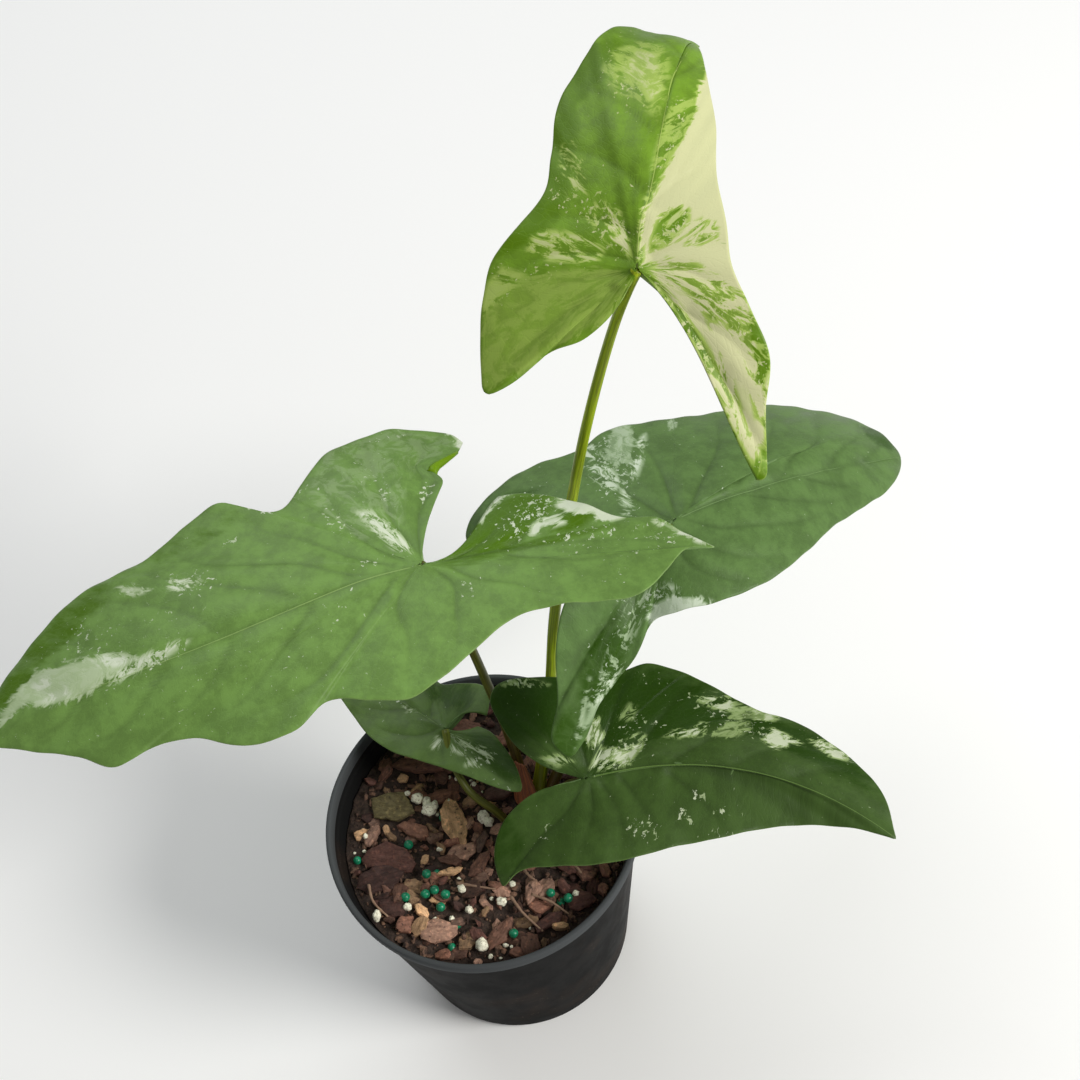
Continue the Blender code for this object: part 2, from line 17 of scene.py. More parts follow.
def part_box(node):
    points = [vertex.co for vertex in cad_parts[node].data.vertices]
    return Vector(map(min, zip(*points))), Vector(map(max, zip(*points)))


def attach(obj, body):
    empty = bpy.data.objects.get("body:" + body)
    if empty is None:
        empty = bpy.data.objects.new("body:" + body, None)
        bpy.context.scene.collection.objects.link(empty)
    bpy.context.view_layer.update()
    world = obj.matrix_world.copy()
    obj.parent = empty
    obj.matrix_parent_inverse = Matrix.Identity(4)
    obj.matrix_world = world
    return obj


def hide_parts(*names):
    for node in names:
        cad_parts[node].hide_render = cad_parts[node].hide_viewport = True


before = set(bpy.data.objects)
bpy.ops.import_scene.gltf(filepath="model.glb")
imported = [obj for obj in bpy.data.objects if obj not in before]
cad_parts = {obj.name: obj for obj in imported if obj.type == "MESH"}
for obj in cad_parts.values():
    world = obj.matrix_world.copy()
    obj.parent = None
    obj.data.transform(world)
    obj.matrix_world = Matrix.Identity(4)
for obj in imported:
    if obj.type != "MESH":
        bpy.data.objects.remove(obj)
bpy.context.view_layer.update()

bl_info = {
    "name": "Potted Syngonium",
    "version": (1, 0, 0),
    "blender": (4, 5, 0),
    "location": "View3D > Sidebar > Syngonium",
    "description": "Builds a variegated syngonium in a nursery pot, leaf by leaf",
    "category": "Add Mesh",
}

MM = 0.001
GOLDEN_ANGLE = pi * (3.0 - sqrt(5.0))

# The plant and its pot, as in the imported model
POT_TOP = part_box("pot")[1].z / MM
RIM_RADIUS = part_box("pot")[1].x / MM
BASE_RADIUS = 39.2
POT_WALL = 1.1
POT_FLOOR = 1.4
BAND_HEIGHT = 4.2
BAND_DEPTH = 1.5
LEDGE_DROP = 6.5
LEDGE_WIDTH = 0.7
ARC_STEPS = 5
POT_SHARP_ANGLE = 50
DRAIN_HOLES = 6
DRAIN_RADIUS = 4.0
DRAIN_CIRCLE = 27.0
DRAIN_SIDES = 32
SOIL_LEVEL = 81.4
MIX_CLEARANCE = 0.3
CROWN = (16.7, 10.4)
CROWN_RADIUS = 7.6
CROWN_FOOT = 70.0
CROWN_TOP = 83.7
SHEATH_TOP = 98.0
SHEATH_SUNK = 4.0
SHEATH_FACES = 238.0
SHEATH_RADIUS = 5.6
SHEATH_SPREAD = 68
SHEATH_NARROWING = 50
SHEATH_THICKNESS = 0.6
SHEATH_CREASE = 0.35
SHEATH_RIBS = 0.12
SHEATHED = ("top", "big_left")
VEIN_SINK = 1.1
VEIN_WIDTH = 4.5

# A row of a blade's edge: forward and left of the joint on the flat leaf, the blade's rise at the
# joint and at the edge in degrees along the line between them, and how far that line bows sideways,
# which is widest at bow_peak of the way out. The rows run from the notch round the left lobe to the
# main tip, and back round the right lobe. Headings, pitches and rolls are in degrees.
LEAVES = {
    "top": {
        "joint": (65, 56, 272), "heading": 82, "pitch": 32, "roll": 0, "bow_peak": 1 / 3,
        "inner_left": [(-3, 1, -5, -20, 0), (-10.5, 6, -5, -23, 0), (-17, 13.5, -4, -23, 0),
                       (-20.3, 22.5, -4, -22, 0), (-27.5, 32, -4, -22, 0)],
        "left_tip": (-32, 40, -3, -22, 0),
        "left": [(-22, 40.3, -3, -19, 0), (-7, 39.2, -1, -14, 0), (2, 37.2, 0, -12, 0),
                 (12, 30.2, 1, -14, 0), (20, 25, 1, -18, 0), (31, 24.7, 2, -26, 0),
                 (46, 25, 2, -31, 0), (61, 21, 3, -38, 0), (76, 17, 6, -48, 0),
                 (92, 12, 8, -65, 0), (107, 4, 10, -81, 0)],
        "main_tip": (119, -8, 10.5, -92, 0),
        "right": [(104, -9.6, 9, -80, 0), (94, -8, 8.5, -72, 0), (86, -9.4, 8, -65, 0),
                  (77, -11.7, 7.5, -60, 0), (67, -13.6, 7, -55, 0),
                  (55, -15.5, 6, -48, 0), (43, -17.4, 4, -40, 0), (25, -18.3, 2, -28, 0),
                  (12, -21, 1, -18, 0), (2, -22.5, 0, -12, 0), (-8, -27.3, -1, -14, 1),
                  (-20, -33, -3, -20, 1.5), (-33, -32.7, -4, -23, 2), (-43, -33.5, -5, -25, 2.5)],
        "right_tip": (-51, -34, -5, -25, 2.6),
        "inner_right": [(-52, -33, -5, -25, 2.6), (-50.6, -31.2, -5, -25, 2.6)],
        "stalk": [(17, 10, 84), (24.5, 29, 113), (29.6, 40, 143), (39.3, 52, 184),
                  (49.2, 57, 222), (58.1, 60, 250), (65, 56, 272)],
        "stalk_radii": (2.1, 1.4),
    },
    "big_left": {
        "joint": (0, 24, 200), "heading": 200, "pitch": 9, "roll": -3, "bow_peak": 1 / 3,
        "inner_left": [(-29, -19, 0, -15, -4), (-37, -16, 0, -8, -3), (-44, -11, 0, -4, -2),
                       (-50, -5, 0, 0, -1), (-58, 2, 0, 0, 0), (-66, 5, 1, 0, 0),
                       (-72, 13, 2, 0, 0)],
        "left_tip": (-78, 21, 3, 0, 0),
        "left": [(-70, 19, 4, 0, 0), (-62, 24, 5, 0, 0), (-53, 29, 6, 0, 0), (-41, 28, 7, 0, 0),
                 (-32, 25.7, 8, 0, 0), (-18, 25, 8, -1, 0), (-8, 28.6, 6, -4, 0), (4, 34, 4, -9, 0),
                 (15, 37, 3, -11, 0), (25, 34, 3, -12, 0), (35, 30, 4, -16, 0),
                 (45, 35, 5, -18, 0), (58, 34, 5, -21, 0), (74, 25, 7, -26, 0),
                 (84, 24, 7, -27, 0), (93, 25, 7, -28, 0), (103, 18, 8, -29, 0),
                 (116, 10, 8, -30, 0)],
        "main_tip": (130, 2, 8, -30, 0),
        "right": [(121, -12, 8, -30, 0), (108, -23, 7, -28, 0), (94, -31, 7, -26, 0),
                  (82, -33, 6, -24, 0), (70, -35, 5, -22, 0), (59, -40, 4, -19, 0),
                  (48, -43, 3, -15, 0), (38, -36, 3, -15, 0), (31, -34, 2, -14, 0),
                  (24, -40, 2, -12, 0), (15, -49, 2, -13, 0), (3, -54, 1, -16, 0.5),
                  (-7, -57, 1, -20, 1), (-17, -55, 0, -22, 1.5), (-25, -52, 0, -24, 2)],
        "right_tip": (-27.4, -47.1, 0, -24, 2),
        "inner_right": [],
        "stalk": [(13, 12, 84), (10, 22, 104), (6.2, 29, 125), (3.7, 31, 150), (1.7, 29, 178),
                  (0, 24, 200)],
        "stalk_radii": (1.7, 1.2),
    },
    "back_right": {
        "joint": (68, 54, 170), "heading": 34, "pitch": -10, "roll": 0, "bow_peak": 1 / 2,
        "inner_left": [(-3, 1, 0, -14, 0), (-13, 9, 0, -18, 0), (-25, 18, 0, -19, 0),
                       (-39, 26, 0, -20, 0)],
        "left_tip": (-52, 31, 0, -20, 0),
        "left": [(-51, 36, 0, -20, 0), (-44, 43, 0, -20, 0), (-31, 48, 0, -20, 0),
                 (-16, 49, 0, -20, 0), (-4, 46, 0, -20, 0), (11, 49, 0, -20, 0),
                 (23, 46, 1, -21, 0), (36, 42, 2, -23, 0), (53, 39, 3, -26, 0),
                 (67, 37, 4, -28, 0), (82, 31, 5, -31, 0), (95, 23, 5, -33, 0),
                 (103, 12, 5, -34, 0)],
        "main_tip": (103, -1, 5, -35, 6),
        "right": [(95, -7.5, 5, -35, 5), (84, -13, 4, -34, 5), (70, -16.4, 3, -33, 4),
                  (51, -20.3, 2, -31, 3), (36, -25, 0, -29, 2), (22, -28.5, -2, -27, 1),
                  (9, -29.5, -4, -26, 0), (-4, -27.5, -6, -28, 0), (-14, -24, -9, -35, 0),
                  (-22, -21, -13, -48, 0), (-34, -26, -15, -57, 0), (-43, -27, -16, -60, 0),
                  (-53, -29, -16, -60, 0), (-62, -34, -16, -60, 0)],
        "right_tip": (-70, -36, -16, -60, 0),
        "inner_right": [(-70, -29, -14, -53, 0), (-60, -20, -12, -46, 0), (-50, -10, -6, -28, 0),
                        (-42, -4, -3, -16, 0), (-20, -2, -1, -13, 0), (-3, -1, 0, -12, 0)],
        "stalk": [(21, 12, 84), (34, 24, 105), (48, 37, 130), (60, 48, 153), (68, 54, 170)],
        "stalk_radii": (1.8, 1.2),
    },
    "lower_right": {
        "joint": (36, -3, 120), "heading": -8, "pitch": 0, "roll": 0, "bow_peak": 1 / 2,
        "inner_left": [(-3, 1, 2, 1, 0), (-10, 2, 4, 1, 0), (-18, 5, 9, 3, 0),
                       (-24, 9, 14, 5, 0), (-30, 16, 19, 7, 0)],
        "left_tip": (-33, 20, 22, 8, 0),
        "left": [(-31, 25, 23, 9, 0), (-25, 28, 24, 10, 0), (-10, 31, 22, 8, 0),
                 (6, 34, 17, 4, 0), (16, 38, 15, 2, 1), (27, 36, 13, 0, 2), (37, 32, 12, -4, 3),
                 (51, 27, 9, -10, 4), (63, 25, 8, -13, 6), (73, 20, 7, -15, 7),
                 (82, 15, 6, -18, 8), (89, 8, 5, -19, 10)],
        "main_tip": (94, -7, 5, -20, 11),
        "right": [(83, -5, 5, -20, 11), (69, -5, 3, -19, 10), (55, -8, 1, -18, 8),
                  (42, -13, -1, -17, 6), (30, -17, -3, -16, 4), (18, -22, -4, -15, 2),
                  (4, -26, -5, -16, 1), (-8, -27, -5, -20, 0), (-19, -29, -5, -26, 0)],
        "right_tip": (-24, -34, -5, -32, 0),
        "inner_right": [(-27, -26, -4, -28, 0), (-26, -18, -3, -20, 0), (-21, -10, -2, -12, 0),
                        (-14, -5, -1, -6, 0), (-3, -1, 0, 0, 0)],
        "stalk": [(21.5, 7.2, 84), (28.7, 5, 100), (34, 0, 112), (36, -3, 120)],
        "stalk_radii": (1.6, 1.2),
    },
    "small_low": {
        "joint": (-10, 23, 108), "heading": 137, "pitch": 0, "roll": 0, "bow_peak": 1 / 2,
        "inner_left": [(-7, -8, 0, -12, -1), (-12, -9, 0, -8, -1), (-18, -8, 0, -4, 0),
                       (-27, -5, 0, -1, 0)],
        "left_tip": (-35, 0, 0, 0, 0),
        "left": [(-29, 3, 0, -1, 0), (-20, 6, 0, -4, 0), (-11, 9, 0, -8, 0), (-3, 12, 0, -10, 0),
                 (8, 16, 0, -10, 0), (20, 17, 0, -11, 0), (30, 15, 1, -13, 0),
                 (42, 12, 3, -16, 0), (53, 7, 4, -19, 0)],
        "main_tip": (62, -3, 5, -20, 0),
        "right": [(54, -9, 4, -20, 0), (44, -14, 3, -24, 0), (33, -16, 2, -27, 0),
                  (24, -14.5, 1, -28, 0), (16.5, -13, 1, -28, 0), (11.4, -17, 0, -27, 0),
                  (5.6, -21, 0, -25, 0), (1.6, -21, 0, -22, 0), (-3.4, -16.6, 0, -18, 2)],
        "right_tip": (-6, -13, 0, -18, 3.5),
        "inner_right": [],
        "stalk": [(8.4, 2, 75), (7, 2, 80), (4, 2, 90), (-3, 5, 99), (-8, 13, 105),
                  (-10, 23, 108)],
        "stalk_radii": (1.4, 1.1),
    },
}

# Veins on the flat leaf, main ones first: the joint or the midrib to near the edge
VEINS = {
    "top": [
        [(0, 0), (10, -0.2), (20, -2.2), (40, -3.9), (57, -5.2), (72, -8), (95, -9.5), (118, -8)],
        [(0, 0), (-5, 9), (-10, 17), (-20, 29), (-31, 39)],
        [(0, 0), (-9, -7), (-20, -15), (-35, -24), (-50, -33.5)],
        [(-1, 2), (-2, 12), (-6, 24), (-14, 36)],
        [(2, 1), (4, 12), (3, 24), (-3, 37)],
        [(8, 0), (12, 9), (14, 24)],
        [(18, -2), (27, 8), (33, 22)],
        [(34, -3.5), (44, 7), (53, 20)],
        [(50, -4.5), (62, 5), (72, 16)],
        [(66, -7), (78, 1), (89, 11)],
        [(84, -9), (94, -2), (103, 5)],
        [(-3, 5), (-9, 10), (-16, 15)],
        [(2, -1), (5, -8), (7, -15), (7, -21)],
        [(14, -1), (22, -8), (29, -17)],
        [(34, -3.6), (42, -9), (52, -14)],
        [(55, -5), (64, -10), (73, -12.5)],
        [(1, -2), (0, -10), (-3, -18), (-6, -25)],
        [(-10, -8), (-14, -16), (-18, -24), (-27, -31)],
        [(-24, -17.5), (-32, -25), (-42, -31)],
    ],
    "big_left": [
        [(0, 0), (15, 0.2), (30, 2), (45, 3.6), (60, 4.4), (78, 4.2), (100, 3), (128, 2)],
        [(0, 0), (-18, 1.2), (-35, 4), (-55, 9), (-76, 19)],
        [(0, 0), (-4, -12), (-9, -25), (-13, -38), (-17, -53)],
        [(7, 0.8), (14, 7), (25, 17), (35, 24), (45, 26.3), (58, 27)],
        [(12, 0), (20, -3), (32, -11), (45, -16), (56, -22), (64, -31)],
        [(3, -2), (10, -9), (14, -16), (17, -26), (18, -38)],
        [(30, 2), (37, 9), (44, 14), (52, 20), (63, 25)],
        [(53, 4.2), (58, 11), (66, 17), (77, 21)],
        [(72, 4.4), (80, 12), (90, 17), (101, 16)],
        [(95, 3.2), (104, 8), (115, 8)],
        [(-2, 1), (-6, 9), (-4, 18), (-1, 30)],
        [(3, 1), (10, 10), (10, 20), (14, 34)],
        [(-6, 1), (-12, 9), (-22, 15), (-31, 23)],
        [(-20, 1.5), (-31, 8), (-42, 13), (-58, 15), (-69, 17.5)],
        [(33, 2.4), (40, -4), (50, -10), (64, -19), (76, -31)],
        [(56, 4.3), (60, -2), (67, -10), (76, -17), (90, -27)],
        [(80, 4.1), (86, -4), (94, -12), (104, -21)],
        [(102, 3), (108, -4), (114, -12)],
        [(6, -1), (18, -9), (28, -19), (38, -27), (46, -38)],
        [(-1, -4), (3, -18), (3, -34), (2, -50)],
        [(-6, -18), (-12, -26), (-20, -36)],
        [(-6, 0.3), (-18, -5), (-30, -12)],
        [(-22, 1.6), (-36, -4), (-48, -6)],
    ],
    "back_right": [
        [(0, 0), (15, -3), (30, -5.5), (50, -6.8), (70, -6.3), (90, -4), (102, -1.5)],
        [(0, 0), (-14, 13), (-28, 24), (-50, 35)],
        [(0, 0), (-8, -5), (-22, -10), (-36, -15), (-50, -24), (-68, -33)],
        [(0, 1), (-3, 14), (-8, 30), (-13, 45)],
        [(2, 1), (8, 14), (13, 28), (17, 45)],
        [(5, -0.5), (18, 9), (31, 18), (41, 29), (47, 37)],
        [(22, -4), (33, 2), (46, 11), (58, 22), (67, 33)],
        [(40, -6.3), (52, 0), (67, 10), (83, 26)],
        [(60, -6.8), (72, -1), (85, 7), (96, 17)],
        [(78, -5.5), (88, -1), (99, 6)],
        [(3, -1), (10, -9), (22, -14), (38, -17.5), (50, -17)],
        [(0, -2), (4, -12), (12, -20), (24, -25)],
        [(25, -5), (38, -11), (54, -14.5), (68, -14)],
        [(48, -6.8), (60, -11), (74, -12)],
        [(-2, -3), (-4, -13), (2, -22), (9, -27)],
        [(-20, -9.5), (-29, -17), (-41, -23)],
        [(-30, -12.5), (-42, -13), (-56, -19)],
    ],
    "lower_right": [
        [(0, 0), (31, -2.2), (62, -4.4), (92.4, -6.55)],
        [(0, 0), (-8, 6), (-18, 14), (-31, 21)],
        [(0, 0), (-4, -9), (-12, -18), (-22, -31)],
        [(1, 1), (-3, 12), (-8, 27)],
        [(3, 0.5), (6, 14), (9, 32)],
        [(8, -0.5), (18, 10), (25, 22), (30, 33)],
        [(24, -2.4), (36, 7), (49, 20)],
        [(42, -3.4), (54, 5), (67, 16)],
        [(60, -3.3), (70, 3), (81, 11)],
        [(1, -1), (2, -12), (0, -23)],
        [(3, -1), (10, -12), (13, -21)],
        [(8, -1), (15, -9), (23, -16)],
        [(22, -2.3), (32, -7), (42, -11)],
    ],
    "small_low": [
        [(0, 0), (12, 1), (24, 2), (40, 1.5), (60, -2.6)],
        [(0, 0), (-10, 0.6), (-22, 0.8), (-34, 0.2)],
        [(0, 0), (1, -7), (2, -14), (3, -20)],
        [(2, 0.5), (5, 6), (12, 11), (22, 14)],
        [(1, 1), (-3, 5), (-8, 9)],
        [(14, 1), (21, 7), (31, 12)],
        [(26, 2), (34, 7), (44, 9.5)],
        [(6, 0.8), (11, -5), (12, -12)],
        [(18, 1.5), (25, -5), (31, -14)],
        [(30, 1.7), (38, -5), (46, -11)],
    ],
}

# Pale patches, each over those before it: how pale, from the leaf's green at 0 over pale green
# at 0.5 to cream at 1, how streaked, and the outline on the flat leaf
PALE_PATCHES = {
    "top": [
        (0.26, 0.1, [(-3, 1), (-12, 7), (-18, 18), (-30, 38), (-28, 41), (-10, 40), (-2, 32), (0, 14),
                     (0, 4)]),
        (0.30, 0.5, [(-11, 40), (-4, 39), (1, 34), (-1, 28), (-4, 31), (-8, 36)]),
        (0.28, 0.9, [(1, 10), (2, 22), (5, 28), (10, 26), (9, 14), (5, 8)]),
        (0.40, 0.9, [(2, 1.5), (7, 8), (13, 13), (17, 11), (15, 5), (8, 2)]),
        (0.30, 0.8, [(13, 14), (18, 18), (24, 21.5), (33, 22), (34.5, 19), (28, 15), (20, 13.5)]),
        (0.22, 0.30, [(39, -2.5), (44, 4), (49, 10), (56, 14), (66, 12.5), (74, 6), (72, 0), (64, -3.5),
                      (52, -5)]),
        (0.55, 0.35, [(43, -1), (50, 2), (53, 7), (59, 9), (67, 6), (65, 0), (56, -2), (48, -3)]),
        (1.0, 0.12, [(1, -0.8), (14, -0.6), (19, -2.5), (26, -5.5), (34, -8.8), (42, -11), (52, -12.2),
                     (62, -13), (76, -13.8), (66, -18), (50, -21), (30, -22), (12, -25), (-6, -26),
                     (-2, -18), (1, -8)]),
        (0.10, 0.7, [(16, -1.5), (19, -2.8), (26, -5.5), (34, -8.8), (42, -11), (50, -11.5), (48, -6),
                      (38, -3.8), (26, -2)]),
        (0.28, 0.8, [(4.5, -3), (9, -3.5), (13, -5), (16.5, -9), (15, -11.5), (10, -11.5), (7.5, -9.5),
                     (6, -6)]),
        (0.62, 0.95, [(6, -11), (11, -12), (13, -15), (12, -19), (8, -19), (6, -15)]),
        (0.72, 1.0, [(-1, -2), (-27, -16), (-48, -31.6), (-48, -33), (-36, -32.4), (-20, -34),
                     (-6, -28), (-2, -21), (2, -14), (3, -7)]),
        (0.95, 0.35, [(-3, -4), (-12, -10.5), (-22, -18), (-20, -20), (-12, -16), (-6, -11)]),
        (0.95, 0.3, [(-13, -17), (-28, -24), (-45, -31.2), (-40, -31.5), (-27, -28), (-13, -21)]),
        (0.0, 0.45, [(-46, -30), (-53, -36), (-50, -36), (-44, -32.6)]),
        (0.08, 0.5, [(0, -0.5), (-10, -6), (-22, -14), (-22, -15.6), (-9, -7.6), (-1, -2.6)]),
        (0.14, 0.7, [(-6, -26), (-13, -28), (-30, -31.6), (-22, -34), (-10, -31)]),
    ],
    "big_left": [
        # The first patch, over the far right lobe, is partly the lobe's own pale mottling and partly a
        # painted sheen
        (0.12, 0.15, [(2, -12), (-8, -34), (-20, -40), (-27, -48), (-8, -57), (14, -50), (24, -34),
                      (14, -14)]),
        (0.35, 1.0, [(65, 2), (72, 3.6), (80, 4.2), (88, 5), (86, 1.5), (76, 0.8), (68, 0.8)]),
        (0.52, 0.14, [(82, 0.5), (88, 2.6), (94, 4.4), (101, 3.6), (107, 2), (112, -1.2), (121, 1),
                     (121, -3), (113, -8), (108, -11.5), (104, -8.5), (98, -7.5), (92, -5.5),
                     (86, -4)]),
        (0.72, 0.5, [(79, 1.5), (84, 1), (89, -1.4), (91, -4.4), (87, -4.4), (82, -1.2)]),
        (0.80, 0.3, [(99, 2.4), (104, 2.0), (107, 0.2), (104, -1.6), (101, -0.6)]),
        (0.72, 0.3, [(103, -3), (108, -3.6), (110, -6.5), (106, -7), (103, -5)]),
        (0.62, 0.3, [(72, -20), (76, -20.6), (80, -23.4), (81.5, -26), (78, -25.4), (74, -22.6)]),
        (0.38, 1.0, [(58, -16), (63, -14), (67, -17), (67, -21), (62, -20.5)]),
        (0.60, 1.0, [(1.5, -5), (5.5, -8), (9, -15), (11.5, -23), (8, -22), (4, -15), (1.5, -9)]),
        (1.0, 0.5, [(-58, 1.8), (-52, 1.5), (-50, -1.6), (-45, -3), (-42.6, -8), (-45, -11), (-50, -7),
                    (-55, -2.5)]),
        (0.95, 0.4, [(-41.5, -1.8), (-36, -2.0), (-32, -1.2), (-33.5, -3.7), (-38, -5), (-41.5, -4.4)]),
        (0.8, 0.8, [(-33, -19), (-26, -15.6), (-19, -11.8), (-23, -15), (-30, -19)]),
        (1.0, 0.4, [(-78, 21), (-71, 14), (-66, 7), (-69, 8.6), (-73, 13.4)]),
        (1.0, 0.6, [(-25, -43.6), (-25.4, -47), (-24, -53), (-29, -49), (-27.5, -44)]),
    ],
    "back_right": [
        (0.45, 0.35, [(0.5, 29.5), (1, 35), (5, 41), (10, 46), (16, 51), (19, 49), (15, 39), (10, 33),
                      (5, 29.5)]),
        (0.50, 0.9, [(0, 22), (3, 28), (9, 30), (14, 37), (19, 39), (14, 32), (8, 26), (2, 21)]),
        (0.50, 0.9, [(-5, 30), (-3, 36), (-1, 37), (-1, 31), (-3, 29)]),
        (0.48, 0.7, [(-10, 11), (-7, 17), (-3.5, 21), (-3, 18), (-6, 12)]),
        (0.30, 1.0, [(-8, 20), (-8, 34), (-1, 46), (4, 46), (0, 34), (-2, 22)]),
        (0.45, 0.5, [(27, 36), (30, 42), (33, 42), (30, 37)]),
        (1.0, 0.5, [(-23, -17.5), (-16, -17), (-8, -23), (-5, -27), (-12, -28), (-22, -23.6)]),
        (0.35, 0.9, [(-24, -11), (-14, -13), (-10, -18), (-16, -18), (-23, -15)]),
        (0.06, 0.9, [(-66, -34), (-50, -26), (-38, -18), (-25, -11), (-20, -13), (-26, -19),
                     (-38, -24.5), (-52, -30)]),
        (0.4, 0.9, [(-64, -32.4), (-54, -25.4), (-48, -21.4), (-50, -23.2), (-60, -31)]),
        (0.6, 0.9, [(-53, -27), (-45, -24.4), (-38, -24.5), (-44, -26.4), (-51, -29)]),
    ],
    "lower_right": [
        (0.62, 0.8, [(-1.5, 12), (-0.5, 18), (2.5, 19), (5, 14), (4, 9.6), (1, 9.6)]),
        (0.36, 1.0, [(0.5, 3), (4, 9.6), (10, 8.4), (16, 12.6), (18.6, 12), (17.4, 7), (14, 3),
                     (12, 0.2), (6, 0.6)]),
        (0.95, 0.6, [(7, 4.5), (10, 7.5), (14, 6.4), (17, 10), (17.5, 7), (14, 3.6), (12.6, 0.6),
                     (9.6, 3)]),
        (0.26, 0.5, [(9.5, 19), (12.5, 24), (15.5, 22), (14.5, 17.5), (11, 17.4)]),
        (0.36, 1.0, [(31, 26.5), (35, 29.6), (43, 30), (44, 24), (39, 23.4)]),
        (0.40, 0.35, [(42.6, 19.6), (43, 27), (48, 28.4), (49, 21), (47, 18.6)]),
        (0.55, 0.45, [(48.6, 20.6), (48.6, 27.8), (56, 27), (56.5, 23), (54, 20.4)]),
        (0.38, 0.4, [(37.6, 9.6), (40, 14), (44, 17.8), (49, 19), (50, 13), (47, 10), (42, 9.4)]),
        (0.42, 1.0, [(25, 9.6), (28, 14), (32, 12), (35, 17), (38.5, 15), (36, 10), (30, 8.6)]),
        (1.0, 0.3, [(54.2, 11.4), (56.6, 17.6), (60.4, 16), (60.4, 11.4), (57, 7.6)]),
        (1.0, 0.4, [(60.6, 13.2), (63.2, 15.6), (64.6, 13.6), (62, 12.2)]),
        (0.75, 1.0, [(66, 17.6), (72, 20), (79.6, 18), (77, 14.4), (73, 13), (70, 15.2)]),
        (0.30, 0.8, [(-15, 4.4), (-9, 6.8), (-4, 5), (-9, 2.6)]),
        (0.22, 1.0, [(-30, 25), (-22, 29), (-14, 27.6), (-20, 24.6)]),
    ],
    "small_low": [
        (0.34, 0.7, [(-22, -2.5), (-16, -0.6), (-4, 1), (-1, -0.6), (-10, -2), (-16, -4.2)]),
        (0.7, 0.6, [(-17.4, 2.5), (-14, 4.6), (-12.6, 2.6), (-15, 1.4)]),
        (0.7, 0.6, [(-10, 2.4), (-7, 3.8), (-5.6, 2.4)]),
        (0.8, 0.6, [(-2.2, 6.4), (-1, 7), (0.2, 3.4), (-1.4, 3)]),
        (0.6, 0.6, [(12.6, 1.4), (15, 3), (17.6, 2.2)]),
    ],
}

# Flecked zones: centre, half length, half width, turn and how thickly they are flecked
FLECKED_ZONES = {
    "top": [(12, 9, 16, 5, 42, 0.5), (0, 27, 4, 13, 10, 0.35), (19, 21, 6, 3, 35, 0.45),
            (56, 6, 17, 9, 10, 0.4), (36, -6.5, 18, 3, -15, 0.4), (-22, -20, 32, 12, 35, 0.6),
            (9, -12, 8, 8, 0, 0.75), (-3, 35, 9, 4, 0, 0.3), (92, 6, 26, 5, -22, 0.2)],
    "big_left": [(76, 2.8, 9, 2, 0, 0.8), (60, -16, 8, 5, -30, 0.45), (68, -8, 12, 6, -20, 0.2),
                 (92, -12, 14, 10, -30, 0.3), (6, -14, 10, 3, -68, 0.7), (13, -5, 4, 2.5, 0, 0.45),
                 (18, -23, 9, 3, -80, 0.45), (2, -27, 2.5, 4, 0, 0.6), (22, -37, 6, 3, 0, 0.3),
                 (47, -27, 3, 1.6, 0, 0.55), (28, -27, 4, 2, 0, 0.3), (37, -35, 5, 2, -35, 0.6),
                 (4, -38, 7, 9, 0, 0.25), (-5, -53, 7, 2.5, 10, 0.4), (-11, -26, 5, 2.5, 60, 0.6),
                 (-45, 4, 14, 3, -10, 0.45), (-58, 7, 8, 3, 0, 0.3), (-65, 12, 7, 2.5, -50, 0.5),
                 (-42, 9, 9, 3, 0, 0.25), (-34, -8, 15, 7, 25, 0.5), (-50, 22, 4, 3, 0, 0.3),
                 (-10, 12, 5, 4, -40, 0.35), (-60, 16, 8, 1.5, 0, 0.35), (36, 12, 22, 8, 35, 0.14),
                 (60, 14, 20, 8, 10, 0.14), (85, 6, 6, 1.5, 0, 0.4), (45, 33, 9, 2, 0, 0.2)],
    "back_right": [(0, 30, 16, 8, 55, 0.5), (8, 40, 9, 6, 50, 0.5), (30, 40, 4, 2, 0, 0.4),
                   (52, 38, 4, 1.5, -20, 0.3), (-8, 9, 6, 3, 50, 0.4), (-44, -21, 16, 5, 33, 0.2),
                   (-18, -15, 6, 4, 0, 0.6), (-28, -12, 8, 4, 30, 0.3), (-30, 34, 14, 6, 30, 0.25)],
    "lower_right": [(12, 6, 9, 5, 30, 0.6), (14, 16, 8, 5, 0, 0.35), (23, 16, 3, 1.5, 0, 0.5),
                    (30, 26, 2.5, 2.5, 0, 0.4), (44, 24, 14, 5, 0, 0.45), (50, 15, 12, 5, 0, 0.45),
                    (73, 17, 8, 3, -20, 0.5), (17, -15, 7, 3, -10, 0.5), (33, -7, 3.5, 1.5, 0, 0.5),
                    (40, -9, 4, 1.2, 0, 0.5), (29, -11.5, 5, 1.5, -15, 0.5), (-10, -17, 6, 3, 50, 0.35),
                    (45, -12, 10, 1.5, 15, 0.4), (-24, 27, 6, 2, 0, 0.7), (-15, 16, 4, 2, 0, 0.25),
                    (2, 12, 4, 5, 0, 0.4), (17, 33, 6, 3, 0, 0.2)],
    "small_low": [(-14, 0, 10, 3.5, 5, 0.4), (15, 2, 6, 1.2, 0, 0.35), (-28, 2, 4, 1, 10, 0.45),
                  (34, 6, 14, 3, 10, 0.25), (30, -9, 10, 4, 0, 0.15)],
}
